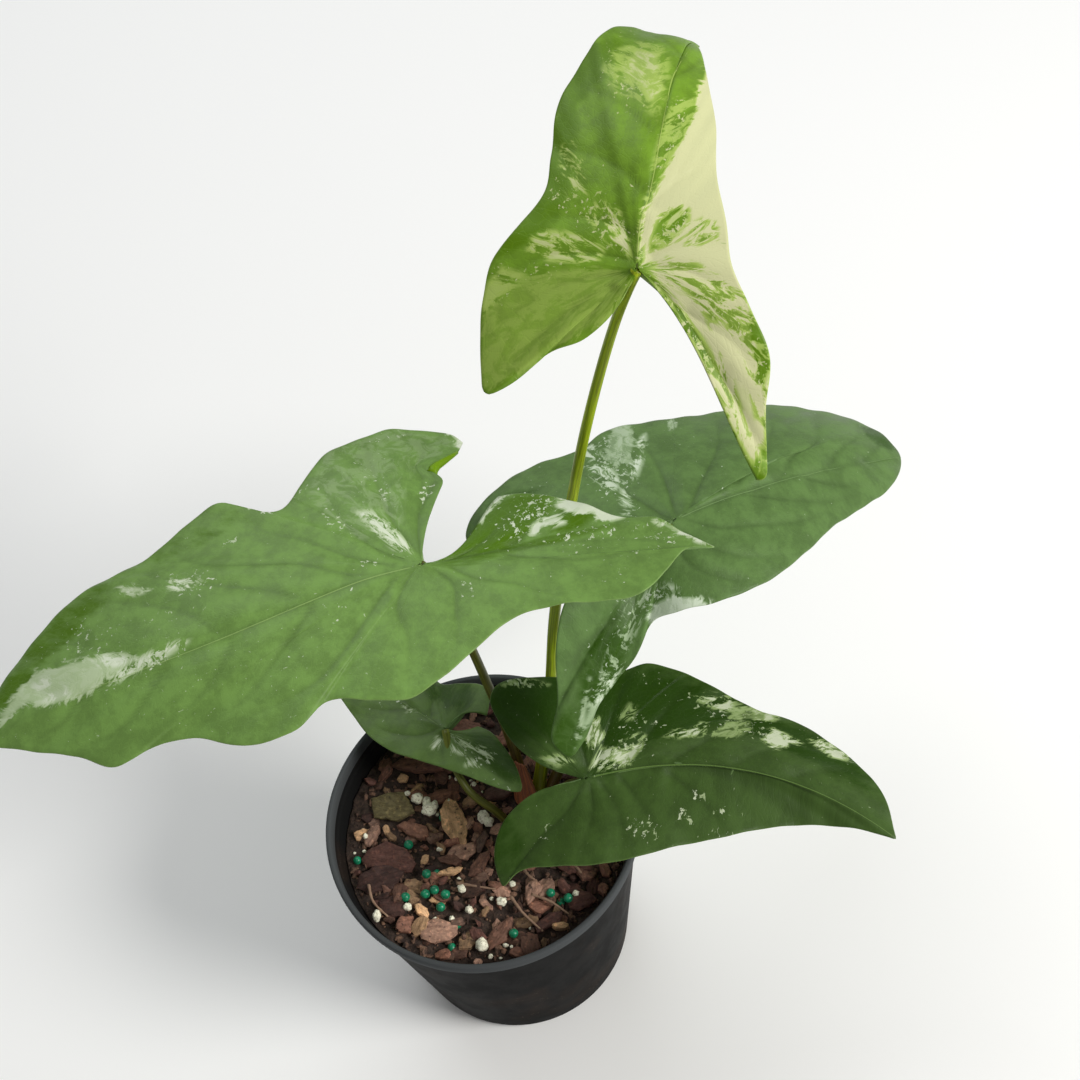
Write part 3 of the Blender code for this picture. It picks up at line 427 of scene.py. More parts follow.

# Zones in the leaf's second, darker green, laid out in the same way. On big_left's left lobe beside its
# vein and on lower_right's far half, the darker green is partly the leaf's own and partly painted
# shade.
DARK_GREEN_AND_SHADE = {
    "top": [(12, 29, 14, 5, -52, 1.0), (30, 22, 22, 4.5, -2, 0.9), (58, 18, 18, 6, -22, 1.0),
            (98, 3, 28, 15, -22, 1.0), (-6, 4, 8, 2, -40, 0.8), (74, 6, 8, 10, 0, 0.5),
            (14, -9, 8, 7, 0, 0.6), (-20, -22, 30, 12, 35, 0.8), (5, 20, 8, 12, 0, 0.35),
            (-51, -34, 3.5, 3.5, 0, 1.0)],
    "big_left": [(-24, -7, 22, 9, 20, 1.0), (-48, -5, 14, 6, 30, 0.8), (114, -8, 8, 7, -40, 0.9),
                 (98, -22, 24, 8, 27, 0.6), (58, -34, 26, 6, 0, 0.4), (-30, 2, 30, 2, -5, 0.7)],
    "back_right": [(100, 8, 10, 9, 0, 0.8), (-38, 34, 18, 10, 20, 0.6), (-66, -30, 12, 6, 30, 0.7),
                   (-44, -22, 22, 7, 33, 0.7)],
    "lower_right": [(10, 22, 40, 15, 0, 1.0), (-20, 20, 14, 12, 0, 1.0), (66, 14, 26, 9, -15, 0.8),
                    (40, 22, 20, 12, 0, 0.7), (-24, -20, 8, 12, 0, 0.6), (8, 3, 10, 5, 20, 0.7)],
    "small_low": [(-22, -4, 16, 5, 0, 0.9), (10, -12, 12, 9, 0, 0.7), (58, 2, 10, 8, 0, 0.5)],
}

# First green, second green, pale green, cream and vein colour of each leaf
LEAF_COLOURS = {
    "top": ((0.140, 0.262, 0.016), (0.092, 0.190, 0.0), (0.330, 0.450, 0.090), (0.560, 0.570, 0.310),
            (0.380, 0.480, 0.120)),
    "big_left": ((0.133, 0.240, 0.053), (0.062, 0.140, 0.0), (0.380, 0.480, 0.270),
                 (0.580, 0.640, 0.490), (0.260, 0.380, 0.120)),
    "back_right": ((0.092, 0.168, 0.045), (0.026, 0.074, 0.0), (0.300, 0.400, 0.230),
                   (0.560, 0.640, 0.500), (0.140, 0.230, 0.080)),
    "lower_right": ((0.046, 0.090, 0.016), (0.017, 0.050, 0.0), (0.260, 0.360, 0.130),
                    (0.560, 0.620, 0.440), (0.170, 0.280, 0.070)),
    "small_low": ((0.090, 0.155, 0.036), (0.026, 0.066, 0.001), (0.320, 0.400, 0.220),
                  (0.560, 0.620, 0.480), (0.140, 0.220, 0.070)),
}
FRESH_GREEN = (0.155, 0.290, 0.002)

# How short the pale streaks are, and the angle from the midrib up to which they run beside it
STREAK_SHORTNESS = {"top": 1.0, "big_left": 1.6, "back_right": 1.8, "lower_right": 1.9,
                    "small_low": 1.6}
GRAIN_SPLIT = 52.0
# Width of the soft border of a pale patch
BORDER_WIDTH = 2.4

# Veins: the first three of a leaf are the main ones, which sink and stand below the most
MAIN_VEINS = 3
MAIN_GROOVE_SINK = 0.5
MAIN_GROOVE_WIDTH = 2.0
SMALL_VEIN_SINK = 1.1
SMALL_VEIN_WIDTH = 3.4
# Width of the darkening along the veins and its share on the underside: partly painted shade in the
# vein creases, partly the veins' own darker green
CREASE_WIDTH = 0.8
UNDERSIDE_CREASE = 0.4
# Radii of a vein at its start and its end, the steps along it and the faces round it
MIDRIB_RADII = (0.34, 0.12)
RIB_RADII = (1.10, 0.20)
SMALL_RIB_RADII = (0.42, 0.12)
VEIN_STEP = 2.0
VEIN_SIDES = 6
ROLL_SIDES = 12
# How deep the midrib and the ribs lie in the blade, in radii, from its upper face or from a share of
# its half thickness, and the square reach over which the blade's lie is averaged for them
MIDRIB_DEPTH = 0.62
RIB_DEPTH = 1.25
RIB_LEVEL = 0.4
VEIN_BLUR = 6.0
RELIEF_STEPS = 14

# Length of edge that is rounded on both sides of the left, main and right tips
TIP_ROUNDING = {"top": (4.0, 15.0, 5.0), "big_left": (1.0, 6.0, 4.0), "back_right": (4.0, 5.0, 3.0),
                "lower_right": (3.0, 1.5, 2.5), "small_low": (3.0, 2.0, 2.0)}
# Places where a blade hangs lower: place, reach and depth
DROOPS = {"top": [(97, -7, 14, 5.0)]}
# Notch in the edge beside the right lobe's tip: distance from the joint, depth and reach inwards
NOTCHES = {"big_left": (38.0, 6.0, 8.0)}
NOTCH_LENGTH = 5.5
# Rolled bits of edge: places on the flat leaf, and radii
ROLLED_EDGES = {"big_left": ([(-14.2, -34.0), (-15.6, -36.2), (-19.0, -38.2), (-22.1, -40.4),
                              (-24.0, -42.0)], (1.9, 0.5))}
# Values that the leaf material reads at veins and at rolled bits of edge
VEIN_LOOK = {"crease": 0.0, "under": 0.0, "edge": 0.0, "rib": 1.0, "fresh": 0.0}
ROLLED_LOOK = {"paleness": 0.0, "streaks": 0.0, "flecks": 0.0, "dark_green_and_shade": 1.0, "crease": 0.0,
               "under": 0.0, "edge": 0.0, "rib": 0.0, "fresh": 1.0}
# Where the spokes start, how the blade thickens round its stalk, and its thin, faintly waved edge
HUB_SHARE = 0.012
HUB_THICKENING = 0.45
HUB_RADIUS = 2.2
EDGE_TAPER = 0.4
EDGE_THINNESS = 0.3
RIPPLE = 0.35
RIPPLE_LENGTHS = (2.3, 7.1)

# Colour of each stalk at its top and at its foot
STALK_COLOURS = {
    "top": ((0.260, 0.340, 0.008), (0.200, 0.170, 0.012)),
    "big_left": ((0.095, 0.100, 0.012), (0.180, 0.050, 0.020)),
    "back_right": ((0.100, 0.140, 0.020), (0.160, 0.060, 0.020)),
    "lower_right": ((0.090, 0.130, 0.020), (0.160, 0.060, 0.020)),
    "small_low": ((0.130, 0.150, 0.020), (0.120, 0.070, 0.020)),
}
# How far stalks run into the crown and end under their blades, their flares and their groove, how far
# up the foot's colour fades, and how their grain runs along and across them
STALK_STEP = 1.6
STALK_ROOT = 5.0
STALK_DROP = 0.3
FOOT_FLARE = 0.9
FOOT_LENGTH = 9.0
NECK_FLARE = 0.28
NECK_LENGTH = 5.0
GROOVE_DEPTH = 0.16
GROOVE_WIDTH = 0.55
FOOT_COLOUR_LENGTH = 22.0
STALK_GRAIN = (0.05, 2.4)

# Camera and lights
CAMERA_PLACE = (74, -205, 530)
CAMERA_AIM = (26, 65, 150)
KEY_PLACE = (1250, -350, 1000)
KEY_AIM = (20, 50, 150)
KEY_SIZE = 650
FILL_PLACE = (-300, 900, 1300)
FILL_AIM = (0, 50, 150)
FILL_SIZE = 1300
FLOOR_DROP = -0.05
SKY_STRENGTH = 0.3

# Fines: how far they lie under the soil level, and the height and fineness of their lumps
FINES_DROP = 0.4
BED_LUMPS = ((1.1, 0.11), (0.7, 0.35), (0.35, 1.1))

# Chips that lie where they show in the mix: place, half length, half width, turn, thickness, lift
# of the upper end, and shade
LARGE_CHIPS = [
    (-32, 9.5, 10.5, 5.5, -14, 2.2, 1.2, "mossy"), (-23, 24, 10, 4.0, -4, 2.4, 1.5, "red"),
    (-10.5, 1.5, 9.2, 4.4, 110, 2.0, 2.2, "tan"), (-32, -9.5, 10.5, 5.5, -8, 2.6, 1.2, "dark"),
    (-35, -16, 9, 4.6, 10, 2.2, 0.8, "dark"), (-11.5, -10.5, 4.6, 2.4, -2, 1.6, 1.0, "brown"),
    (-29.5, -25.4, 5.0, 3.8, 0, 2.0, 0.8, "dark"), (-15, -34.2, 7.4, 4.0, -8, 2.0, 0.8, "pink"),
    (4, 12.5, 6.0, 3.0, 10, 2.0, 1.6, "brown"), (15, -22.5, 4.6, 2.8, 60, 1.8, 1.0, "pink"),
    (-17, 11.5, 6.0, 2.6, 20, 1.8, 1.0, "red"), (-20.5, -32, 3.6, 3.0, 70, 1.6, 0.6, "tan"),
    (-1.5, -4.5, 4.6, 1.9, 75, 1.6, 1.2, "pink"), (-2.0, -13.0, 5.0, 2.4, 55, 1.6, 1.0, "brown"),
    (-24, 0.5, 6.4, 2.8, -25, 2.0, 0.8, "brown"), (-38, -1, 4.6, 2.4, 60, 1.8, 0.8, "pink"),
    (-12, -14.5, 4.6, 1.5, 8, 1.4, 0.6, "tan"), (27, -14, 7.0, 3.6, -30, 2.0, 1.0, "dark"),
    (5, -36, 6.0, 3.0, 50, 2.0, 0.8, "brown"), (-2, 22, 7.0, 3.6, 30, 2.0, 1.0, "dark"),
    (34, -4, 6.4, 3.6, 80, 2.0, 0.8, "brown"), (30, 20, 7.0, 4.0, 40, 2.0, 1.0, "dark"),
    (10, 33, 7.4, 3.8, 10, 2.2, 1.0, "red"), (-8, 37, 6.4, 3.4, -20, 2.0, 0.8, "brown"),
    (30, -27, 5.0, 3.0, 10, 1.8, 0.8, "dark"), (20, -33, 5.4, 2.6, 30, 1.8, 0.8, "dark"),
]
CHIP_SHADES = {
    "mossy": (0.105, 0.085, 0.035), "red": (0.200, 0.090, 0.058), "tan": (0.50, 0.300, 0.160),
    "dark": (0.090, 0.036, 0.026), "brown": (0.180, 0.085, 0.055), "pink": (0.300, 0.170, 0.120),
}
# Share of the outline and of the thickness at each layer of a chip, from below
CHIP_LAYERS = [(0.86, 0.0), (1.0, 0.22), (0.97, 0.55), (1.02, 0.8), (0.9, 1.0)]
CHIP_CORNERS = (5, 8)
CHIP_CORNER_REACH = (0.78, 1.12)
CHIP_EDGE_STEP = 1.2
CHIP_JITTER = 0.22
CHIP_ROLL = 0.25
CHIP_SHARP_ANGLE = 38
CHIP_BRIGHTNESS = (0.45, 1.8)
LARGE_CHIP_LIFT = 0.4
COVERED_SHARE = 0.85
COVERED_CHIP_DROP = 1.6
# What is strewn by chance: how far from the rim, how near the stalks' feet as a share of its reach,
# and the sizes of the strewn chips, with their widths as shares of their lengths
STREWN_MARGIN = 3.0
STALK_OVERLAP = 0.6
SMALL_STALK_ROOM = 1.8
WALL_ROOM = 0.4
STREWN_LENGTHS = (1.6, 4.6)
STREWN_WIDTHS = (0.4, 0.75)
STREWN_THICKNESSES = (0.8, 1.9)
STREWN_TILT = 0.6
STREWN_STRAY = 2.0
# Least and most radius, how far the middle stands over the fines in radii, and how rough
CRUMB_STREW = (0.35, 1.5, 0.2)
CRUMB_ROUGHNESS = 0.7
PERLITE_STREW = (0.5, 1.3, 0.8)
PERLITE_ROUGHNESS = 0.32
PRILL_STREW = (1.4, 1.55, 0.3)
PRILL_ROUGHNESS = 0.05
# Grains that show: place and radius
PERLITE_PLACES = [
    (-23.5, 11.4, 1.9), (-19.4, 7.0, 2.2), (-20.2, 9.6, 1.9), (-17.6, 8.4, 1.5), (-12.9, 9.4, 1.3),
    (-1.2, 3.4, 2.1), (0.6, 1.6, 1.6), (-34.6, -28.6, 1.9), (-24.9, -26.0, 1.5), (-5.0, -28.0, 1.4),
    (-0.8, -39.5, 1.9), (-7.7, -20.7, 1.3), (5.3, -25.7, 1.5), (29.0, -24.4, 1.3),
    (-40.2, -1.0, 0.9), (-15.4, -7.0, 0.9), (-27.0, 13.6, 0.9), (8.6, -20.0, 1.0),
]
PRILL_RADIUS = 1.5
PRILL_PLACES = [
    (-25.7, -22.8), (-19.3, -22.1), (-16.4, -20.9), (-12.8, -22.6), (-14.2, -26.7), (-19.2, -15.4),
    (-25.6, -5.0), (20.8, -23.8), (26.4, -25.8), (9.2, -36.4),
]
TWIGS = [
    [(-9.3, -18.9), (-3, -20.6), (3.3, -21.6)], [(8.1, -24.2), (12, -30), (18.3, -36.1)],
    [(14.8, -23.9), (21, -27), (26.5, -31.0)], [(12.5, -15.7), (14, -18), (16.4, -19.6)],
    [(28.5, -14.9), (30, -17), (32.0, -20.5)], [(-38, -18), (-36, -24), (-31, -29)],
    [(20, 30), (27, 27), (35, 18)],
]
TWIG_STEPS = 16
TWIG_SIDES = 8
TWIG_RADII = (0.55, 0.3)
TWIG_LIFT = 2.6
TWIG_ARCH = 0.8
TWIG_KNOTS = 0.12


# Settings


class PotSettings(bpy.types.PropertyGroup):
    """Colours and finish of the pot"""
    side_count: IntProperty(name="Sides", description="Faces round the pot", default=192, min=48)
    colour: FloatVectorProperty(
        name="Plastic", description="Colour of the moulded plastic", subtype="COLOR",
        default=(0.012, 0.012, 0.012), min=0.0, max=1.0)
    # The rim band's paler colour is painted sheen in place of its highlight
    rim_sheen_colour: FloatVectorProperty(
        name="Rim", description="Colour of the worn rim band", subtype="COLOR",
        default=(0.068, 0.073, 0.076), min=0.0, max=1.0)
    roughness: FloatProperty(
        name="Roughness", description="Roughness of the clean plastic", subtype="FACTOR",
        default=0.36, min=0.0, max=1.0)


class MixSettings(bpy.types.PropertyGroup):
    """What lies in the potting mix"""
    chip_count: IntProperty(name="Chips", description="Bark chips strewn by chance", default=300)
    crumb_count: IntProperty(name="Crumbs", description="Small crumbs between chips", default=1500)
    perlite_count: IntProperty(name="Perlite", description="Grains strewn by chance", default=46)
    prill_count: IntProperty(name="Prills", description="Feed prills strewn by chance", default=9)
    seed: IntProperty(name="Seed", description="Seed of what is strewn by chance", default=11)
    # The fines are partly damp and dark, partly darkened as painted shade in the gaps between chips
    fines: FloatVectorProperty(
        name="Fines", description="Colour of the damp fines", subtype="COLOR",
        default=(0.030, 0.017, 0.012), min=0.0, max=1.0)
    perlite: FloatVectorProperty(
        name="Perlite colour", description="Colour of the perlite", subtype="COLOR",
        default=(0.98, 0.95, 0.76), min=0.0, max=1.0)
    prill: FloatVectorProperty(
        name="Prill colour", description="Colour of the feed prills", subtype="COLOR",
        default=(0.010, 0.270, 0.130), min=0.0, max=1.0)


class StalkSettings(bpy.types.PropertyGroup):
    """Stalks and the sheath round their feet"""
    side_count: IntProperty(name="Sides", description="Faces round a stalk", default=20, min=8)
    # The sheath colour is partly painted light: lighter than the dry sheath's own red-brown, to make up
    # for the shade of the leaves over it
    sheath: FloatVectorProperty(
        name="Sheath", description="Colour of the dry sheath", subtype="COLOR",
        default=(0.480, 0.150, 0.055), min=0.0, max=1.0)


class BladeSettings(bpy.types.PropertyGroup):
    """Thickness, fineness and underside of the blades"""
    thickness: FloatProperty(
        name="Thickness", description="Thickness of the blades", default=0.00045, unit="LENGTH",
        precision=5)
    grid_step: FloatProperty(
        name="Grid step", description="Distance between spokes at the edge", default=0.0011,
        unit="LENGTH", precision=5)
    ring_count: IntProperty(name="Rings", description="Rings from joint to edge", default=58)
    underside: FloatVectorProperty(
        name="Underside", description="Colour that dulls the undersides", subtype="COLOR",
        default=(0.170, 0.270, 0.110), min=0.0, max=1.0)


class StageSettings(bpy.types.PropertyGroup):
    """Floor, lights and camera"""
    floor_size: FloatProperty(
        name="Floor", description="Width of the floor", default=6.0, unit="LENGTH")
    floor_colour: FloatVectorProperty(
        name="Floor colour", description="Colour of the floor", subtype="COLOR",
        default=(0.91, 0.91, 0.90), min=0.0, max=1.0)
    lens: FloatProperty(name="Lens", description="Focal length", default=50.0, unit="CAMERA")
    roll: FloatProperty(
        name="Roll", description="Turn of the camera about its view", subtype="ANGLE",
        default=radians(-12.43))
    key_power: FloatProperty(name="Key", description="Power of the key light", default=22.0,
                             unit="POWER")
    fill_power: FloatProperty(name="Fill", description="Power of the fill light", default=10.0,
                              unit="POWER")


SETTINGS = {
    "syngonium_pot": PotSettings,
    "syngonium_mix": MixSettings,
    "syngonium_stalks": StalkSettings,
    "syngonium_blades": BladeSettings,
    "syngonium_stage": StageSettings,
}


# Materials and meshes


class Shade:
    """Adds nodes to one material; each call returns the new node's output socket."""

    def __init__(self, name):
        self.material = bpy.data.materials.new(name)
        self.material.use_nodes = True
        self.tree = self.material.node_tree
        self.shader = self.tree.nodes["Principled BSDF"]

    def add(self, kind, inputs, output=0, **settings):
        made = self.tree.nodes.new(kind)
        for key, value in settings.items():
            setattr(made, key, value)
        for key, value in inputs.items():
            self.feed(made.inputs[key], value)
        return made.outputs[output]

    def feed(self, socket, value):
        if isinstance(value, bpy.types.NodeSocket):
            self.tree.links.new(value, socket)
        elif socket.type == "RGBA":
            socket.default_value = (*value[:3], 1.0)
        else:
            socket.default_value = value

    def set(self, **inputs):
        """Feed the shader's own sockets, named with _ for a space."""
        for key, value in inputs.items():
            self.feed(self.shader.inputs[key.replace("_", " ")], value)

    def attribute(self, name, output="Fac"):
        return self.add("ShaderNodeAttribute", {}, output, attribute_name=name)

    def place(self):
        return self.add("ShaderNodeTexCoord", {}, "Object")

    def maths(self, operation, a, b):
        return self.add("ShaderNodeMath", {0: a, 1: b}, operation=operation)

    def stretch(self, vector, scale):
        return self.add("ShaderNodeVectorMath", {0: vector, 1: scale}, operation="MULTIPLY")

    def noise(self, vector, scale, detail=2.0, roughness=0.5, distortion=0.0):
        return self.add("ShaderNodeTexNoise", {
            "Vector": vector, "Scale": scale, "Detail": detail, "Roughness": roughness,
            "Distortion": distortion})

    def cells(self, vector, scale):
        """Distance to the nearest border between cells."""
        return self.add("ShaderNodeTexVoronoi", {"Vector": vector, "Scale": scale}, "Distance",
                        feature="DISTANCE_TO_EDGE")

    def ease(self, value, low, high, start=0.0, end=1.0):
        """Smooth step from start at low to end at high."""
        return self.add("ShaderNodeMapRange", {
            "Value": value, "From Min": low, "From Max": high, "To Min": start, "To Max": end},
            interpolation_type="SMOOTHSTEP")

    def mix(self, share, a, b):
        return self.add("ShaderNodeMix", {0: share, 6: a, 7: b}, 2, data_type="RGBA")

    def bump(self, height, distance, strength):
        self.set(Normal=self.add("ShaderNodeBump", {
            "Height": height, "Distance": distance, "Strength": strength}))


def add_piece(name, points, faces, material, replaced=(), values=None, smooth=True):
    """A piece in metres from points in millimetres, with its values per point."""
    mesh = bpy.data.meshes.new(name)
    mesh.from_pydata((np.asarray(points, dtype=float) * MM).tolist(), [], faces)
    for key, value in (values or {}).items():
        value = np.asarray(value, dtype=np.float32)
        kind, field = ("FLOAT", "value") if value.ndim == 1 else ("FLOAT_VECTOR", "vector")
        mesh.attributes.new(key, kind, "POINT").data.foreach_set(field, value.ravel())
    mesh.materials.append(material)
    if smooth:
        mesh.shade_smooth()
    piece = bpy.data.objects.new(name, mesh)
    bpy.context.scene.collection.objects.link(piece)
    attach(piece, "root")
    if replaced:
        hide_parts(*replaced)
    return piece


def smooth_curve(rows, steps, axes):
    """Even steps along a smooth curve through rows, measured in their first columns, axes of them."""
    rows = np.array(rows, dtype=float)
    chords = np.linalg.norm(np.diff(rows[:, :axes], axis=0), axis=1)
    along = np.concatenate([[0.0], np.cumsum(chords)])
    slopes = np.gradient(rows, along, axis=0)
    at = np.linspace(0.0, along[-1], steps + 1)
    piece = np.clip(np.searchsorted(along, at, side="right") - 1, 0, len(rows) - 2)
    span = (along[piece + 1] - along[piece])[:, None]
    f = (at - along[piece])[:, None] / span
    leaving = (2 * f**3 - 3 * f**2 + 1) * rows[piece] + (f**3 - 2 * f**2 + f) * span * slopes[piece]
    arriving = (3 * f**2 - 2 * f**3) * rows[piece + 1] + (f**3 - f**2) * span * slopes[piece + 1]
    return leaving + arriving


def curve_length(rows, axes):
    return np.linalg.norm(np.diff(np.array(rows, dtype=float)[:, :axes], axis=0), axis=1).sum()


def tube(route, radii, sides, start=0):
    """Points and faces of a tube with closed ends along a route; radii hold one number a ring."""
    tangents = np.gradient(route, axis=0)
    tangents /= np.linalg.norm(tangents, axis=1)[:, None]
    side = np.cross(tangents, [0.31, 0.95, 0.05])
    side /= np.linalg.norm(side, axis=1)[:, None]
    front = np.cross(tangents, side)
    angles = np.arange(sides) * 2 * pi / sides
    spokes = cos_sin(angles, side, front) * np.asarray(radii)[:, None, None]
    points = (route[:, None, :] + spokes).reshape(-1, 3)
    faces = ring_faces(start, len(route), sides)
    faces.append(tuple(start + step for step in reversed(range(sides))))
    faces.append(tuple(start + (len(route) - 1) * sides + step for step in range(sides)))
    return points, faces


def ring_faces(start, rings, count):
    """Faces between neighbouring rings of count points each, from the point numbered start."""
    faces = []
    for ring in range(rings - 1):
        low = start + ring * count
        for step in range(count):
            after = (step + 1) % count
            faces.append((low + step, low + after, low + count + after, low + count + step))
    return faces


def cos_sin(angles, side, front):
    """Unit spokes at angles in the planes of side and front, ring by ring."""
    return (np.cos(angles)[None, :, None] * side[:, None, :]
            + np.sin(angles)[None, :, None] * front[:, None, :])


# Leaf surfaces


def leaf_axes(leaf):
    """Forward, left and up directions of a leaf."""
    heading, pitch, roll = (radians(leaf[key]) for key in ("heading", "pitch", "roll"))
    forward = np.array([cos(heading) * cos(pitch), sin(heading) * cos(pitch), sin(pitch)])
    level_left = np.array([-sin(heading), cos(heading), 0.0])
    level_up = np.cross(forward, level_left)
    left = level_left * cos(roll) + level_up * sin(roll)
    return np.array([forward, left, np.cross(forward, left)])


def leaf_margin(leaf, step, rounding):
    """Rows at even steps round the blade's edge, with rounded corners at its tips."""
    strokes = [
        [*leaf["inner_left"], leaf["left_tip"]],
        [leaf["left_tip"], *leaf["left"], leaf["main_tip"]],
        [leaf["main_tip"], *leaf["right"], leaf["right_tip"]],
        [leaf["right_tip"], *leaf["inner_right"]],
    ]
    rows = [np.array(strokes[0][0], dtype=float)]
    tips = []
    for stroke in strokes:
        if len(stroke) > 1:
            rows += list(smooth_curve(stroke, max(1, round(curve_length(stroke, 2) / step)), 2)[1:])
        tips.append(len(rows) - 1)
    rows = np.array(rows)
    for tip, length in zip(tips, rounding):
        reach = min(round(length / step), tip, len(rows) - 1 - tip)
        if reach > 0:
            before, corner, after = rows[tip - reach].copy(), rows[tip].copy(), rows[tip + reach].copy()
            f = np.linspace(0, 1, 2 * reach + 1)[:, None]
            rows[tip - reach:tip + reach + 1] = ((1 - f) ** 2 * before + 2 * f * (1 - f) * corner
                                                 + f**2 * after)
    return rows


def vein_relief(plan, name):
    """How far the blade sinks at its veins, in millimetres, and how strongly the veins are darkened:
    partly painted shade in their creases and partly their own darker green.
    """
    broad = np.zeros(len(plan))
    fine = np.zeros(len(plan))
    crease = np.zeros(len(plan))
    for number, vein in enumerate(VEINS[name]):
        distance, along = distance_to(plan, smooth_curve(vein, RELIEF_STEPS, 2))
        fade = np.sqrt(np.clip(1 - along, 0, 1)) * np.clip(along * 6 + 0.3, 0, 1)
        if number < MAIN_VEINS:
            arch = VEIN_SINK * np.sin(pi * along)
            broad = np.maximum(broad, arch * np.exp(-(distance / VEIN_WIDTH) ** 2))
            fine = np.maximum(fine, MAIN_GROOVE_SINK * fade * np.exp(-distance / MAIN_GROOVE_WIDTH))
        else:
            fine = np.maximum(fine, SMALL_VEIN_SINK * fade * np.exp(-distance / SMALL_VEIN_WIDTH))
        crease = np.maximum(crease, fade * np.exp(-(distance / CREASE_WIDTH) ** 2))
    return broad + fine, crease


def distance_to(plan, route):
    """Distance of plan points to a route, and how far along it the nearest place is, from 0 to 1."""
    best = np.full(len(plan), 1e9)
    share = np.zeros(len(plan))
    for number, (a, b) in enumerate(zip(route, route[1:])):
        span = b - a
        f = np.clip((plan - a) @ span / (span @ span), 0, 1)
        distance = np.hypot(*(plan - a - f[:, None] * span).T)
        nearer = distance < best
        best = np.where(nearer, distance, best)
        share = np.where(nearer, (number + f) / (len(route) - 1), share)
    return best, share


def spoke_points(rows, share, leaf):
    """Places in the leaf's own axes at a share of the way from the joint to each row of the edge."""
    forward, left, rise_start, rise_end, bow = rows.T
    length = np.hypot(forward, left)
    start = np.radians(rise_start)
    bend = np.radians(rise_end - rise_start)
    bend = np.where(np.abs(bend) < 1e-4, 1e-4, bend)
    out = length * (np.sin(start + bend * share) - np.sin(start)) / bend
    up = length * (np.cos(start) - np.cos(start + bend * share)) / bend
    peak = leaf["bow_peak"]
    power = 1.0 / min(peak, 1.0 - peak)
    side = bow * (share / peak) ** (power * peak) * ((1 - share) / (1 - peak)) ** (power * (1 - peak))
    x = (out * forward - side * left) / length
    y = (out * left + side * forward) / length
    return np.stack([x, y, up], axis=1)


def on_blade(plan, leaf, margin):
    """Places in the leaf's own axes of points given on the flat leaf, and their spokes and shares."""
    edge, step = margin[:-1, :2], np.diff(margin[:, :2], axis=0)
    found = []
    places = []
    for point in plan:
        if point @ point < 1e-6:
            found.append(np.zeros(3))
            places.append((0.0, 0.0))
            continue
        turn = edge[:, 0] * point[1] - edge[:, 1] * point[0]
        turn_step = step[:, 0] * point[1] - step[:, 1] * point[0]
        f = -turn / np.where(np.abs(turn_step) < 1e-9, 1e-9, turn_step)
        hit = edge + f[:, None] * step
        good = (f >= 0) & (f <= 1) & (hit @ point > 0)
        if not good.any():
            raise ValueError(f"{tuple(point)} is off the blade")
        number = np.where(good, np.hypot(*hit.T), 0).argmax()
        row = margin[number] + f[number] * (margin[number + 1] - margin[number])
        share = np.clip(np.hypot(*point) / np.hypot(row[0], row[1]), 0, 1)
        found.append(spoke_points(row[None, :], share, leaf)[0])
        places.append((number + f[number], share / (1 - EDGE_TAPER / np.hypot(row[0], row[1]))))
    return np.array(found), np.array(places)


def outline_depth(plan, outline):
    """Depth inside a closed outline in millimetres, below 0 outside it."""
    corners = np.array(outline, dtype=float)
    nearest = np.full(len(plan), 1e9)
    inside = np.zeros(len(plan), dtype=bool)
    for a, b in zip(corners, np.roll(corners, -1, axis=0)):
        span = b - a
        f = np.clip((plan - a) @ span / (span @ span), 0, 1)
        nearest = np.minimum(nearest, np.hypot(*(plan - a - f[:, None] * span).T))
        crosses = (a[1] > plan[:, 1]) != (b[1] > plan[:, 1])
        reach = a[0] + (plan[:, 1] - a[1]) * span[0] / (span[1] or 1e-9)
        inside ^= crosses & (plan[:, 0] < reach)
    return np.where(inside, nearest, -nearest)


def zone_strength(plan, zones):
    """Strength of soft oval zones, the strongest where they overlap."""
    strength = np.zeros(len(plan))
    for x, y, half_length, half_width, turn, amount in zones:
        c, s = cos(radians(turn)), sin(radians(turn))
        along = ((plan[:, 0] - x) * c + (plan[:, 1] - y) * s) / half_length
        across = ((plan[:, 1] - y) * c - (plan[:, 0] - x) * s) / half_width
        strength = np.maximum(strength, amount * np.clip(1.6 - 1.2 * np.hypot(along, across), 0, 1))
    return strength


def leaf_marks(name, plan):
    """Values per point that the leaf's material reads."""
    paleness = np.zeros(len(plan))
    streaks = np.zeros(len(plan))
    border = np.zeros(len(plan))
    for tone, streaked, outline in PALE_PATCHES[name]:
        depth = outline_depth(plan, outline)
        cover = np.clip(0.5 + depth / BORDER_WIDTH, 0, 1)
        cover = cover * cover * (3 - 2 * cover)
        step = np.abs(tone - paleness) * np.exp(-(2 * depth / BORDER_WIDTH) ** 2)
        border = np.maximum(border * (1 - cover), step)
        paleness += (tone - paleness) * cover
        streaks += (streaked - streaks) * cover
    angle = np.arctan2(np.abs(plan[:, 1]), plan[:, 0])
    split = radians(GRAIN_SPLIT)
    front = angle < split
    across = np.where(front, (plan[:, 0] - np.abs(plan[:, 1]) / np.tan(split)) * sin(split),
                      (split - angle) * 24)
    along = np.where(front, np.abs(plan[:, 1]) / sin(split), np.hypot(*plan.T))
    grain = np.stack([STREAK_SHORTNESS[name] * np.where(front, 0.33, 0.22) * along, across,
                      0.3 * plan[:, 1]], axis=1)
    return {
        "paleness": paleness, "streaks": np.maximum(streaks, border),
        "flecks": zone_strength(plan, FLECKED_ZONES[name]),
        "dark_green_and_shade": zone_strength(plan, DARK_GREEN_AND_SHADE[name]), "grain": grain,
        "plan": np.column_stack([plan, np.zeros(len(plan))]),
    }


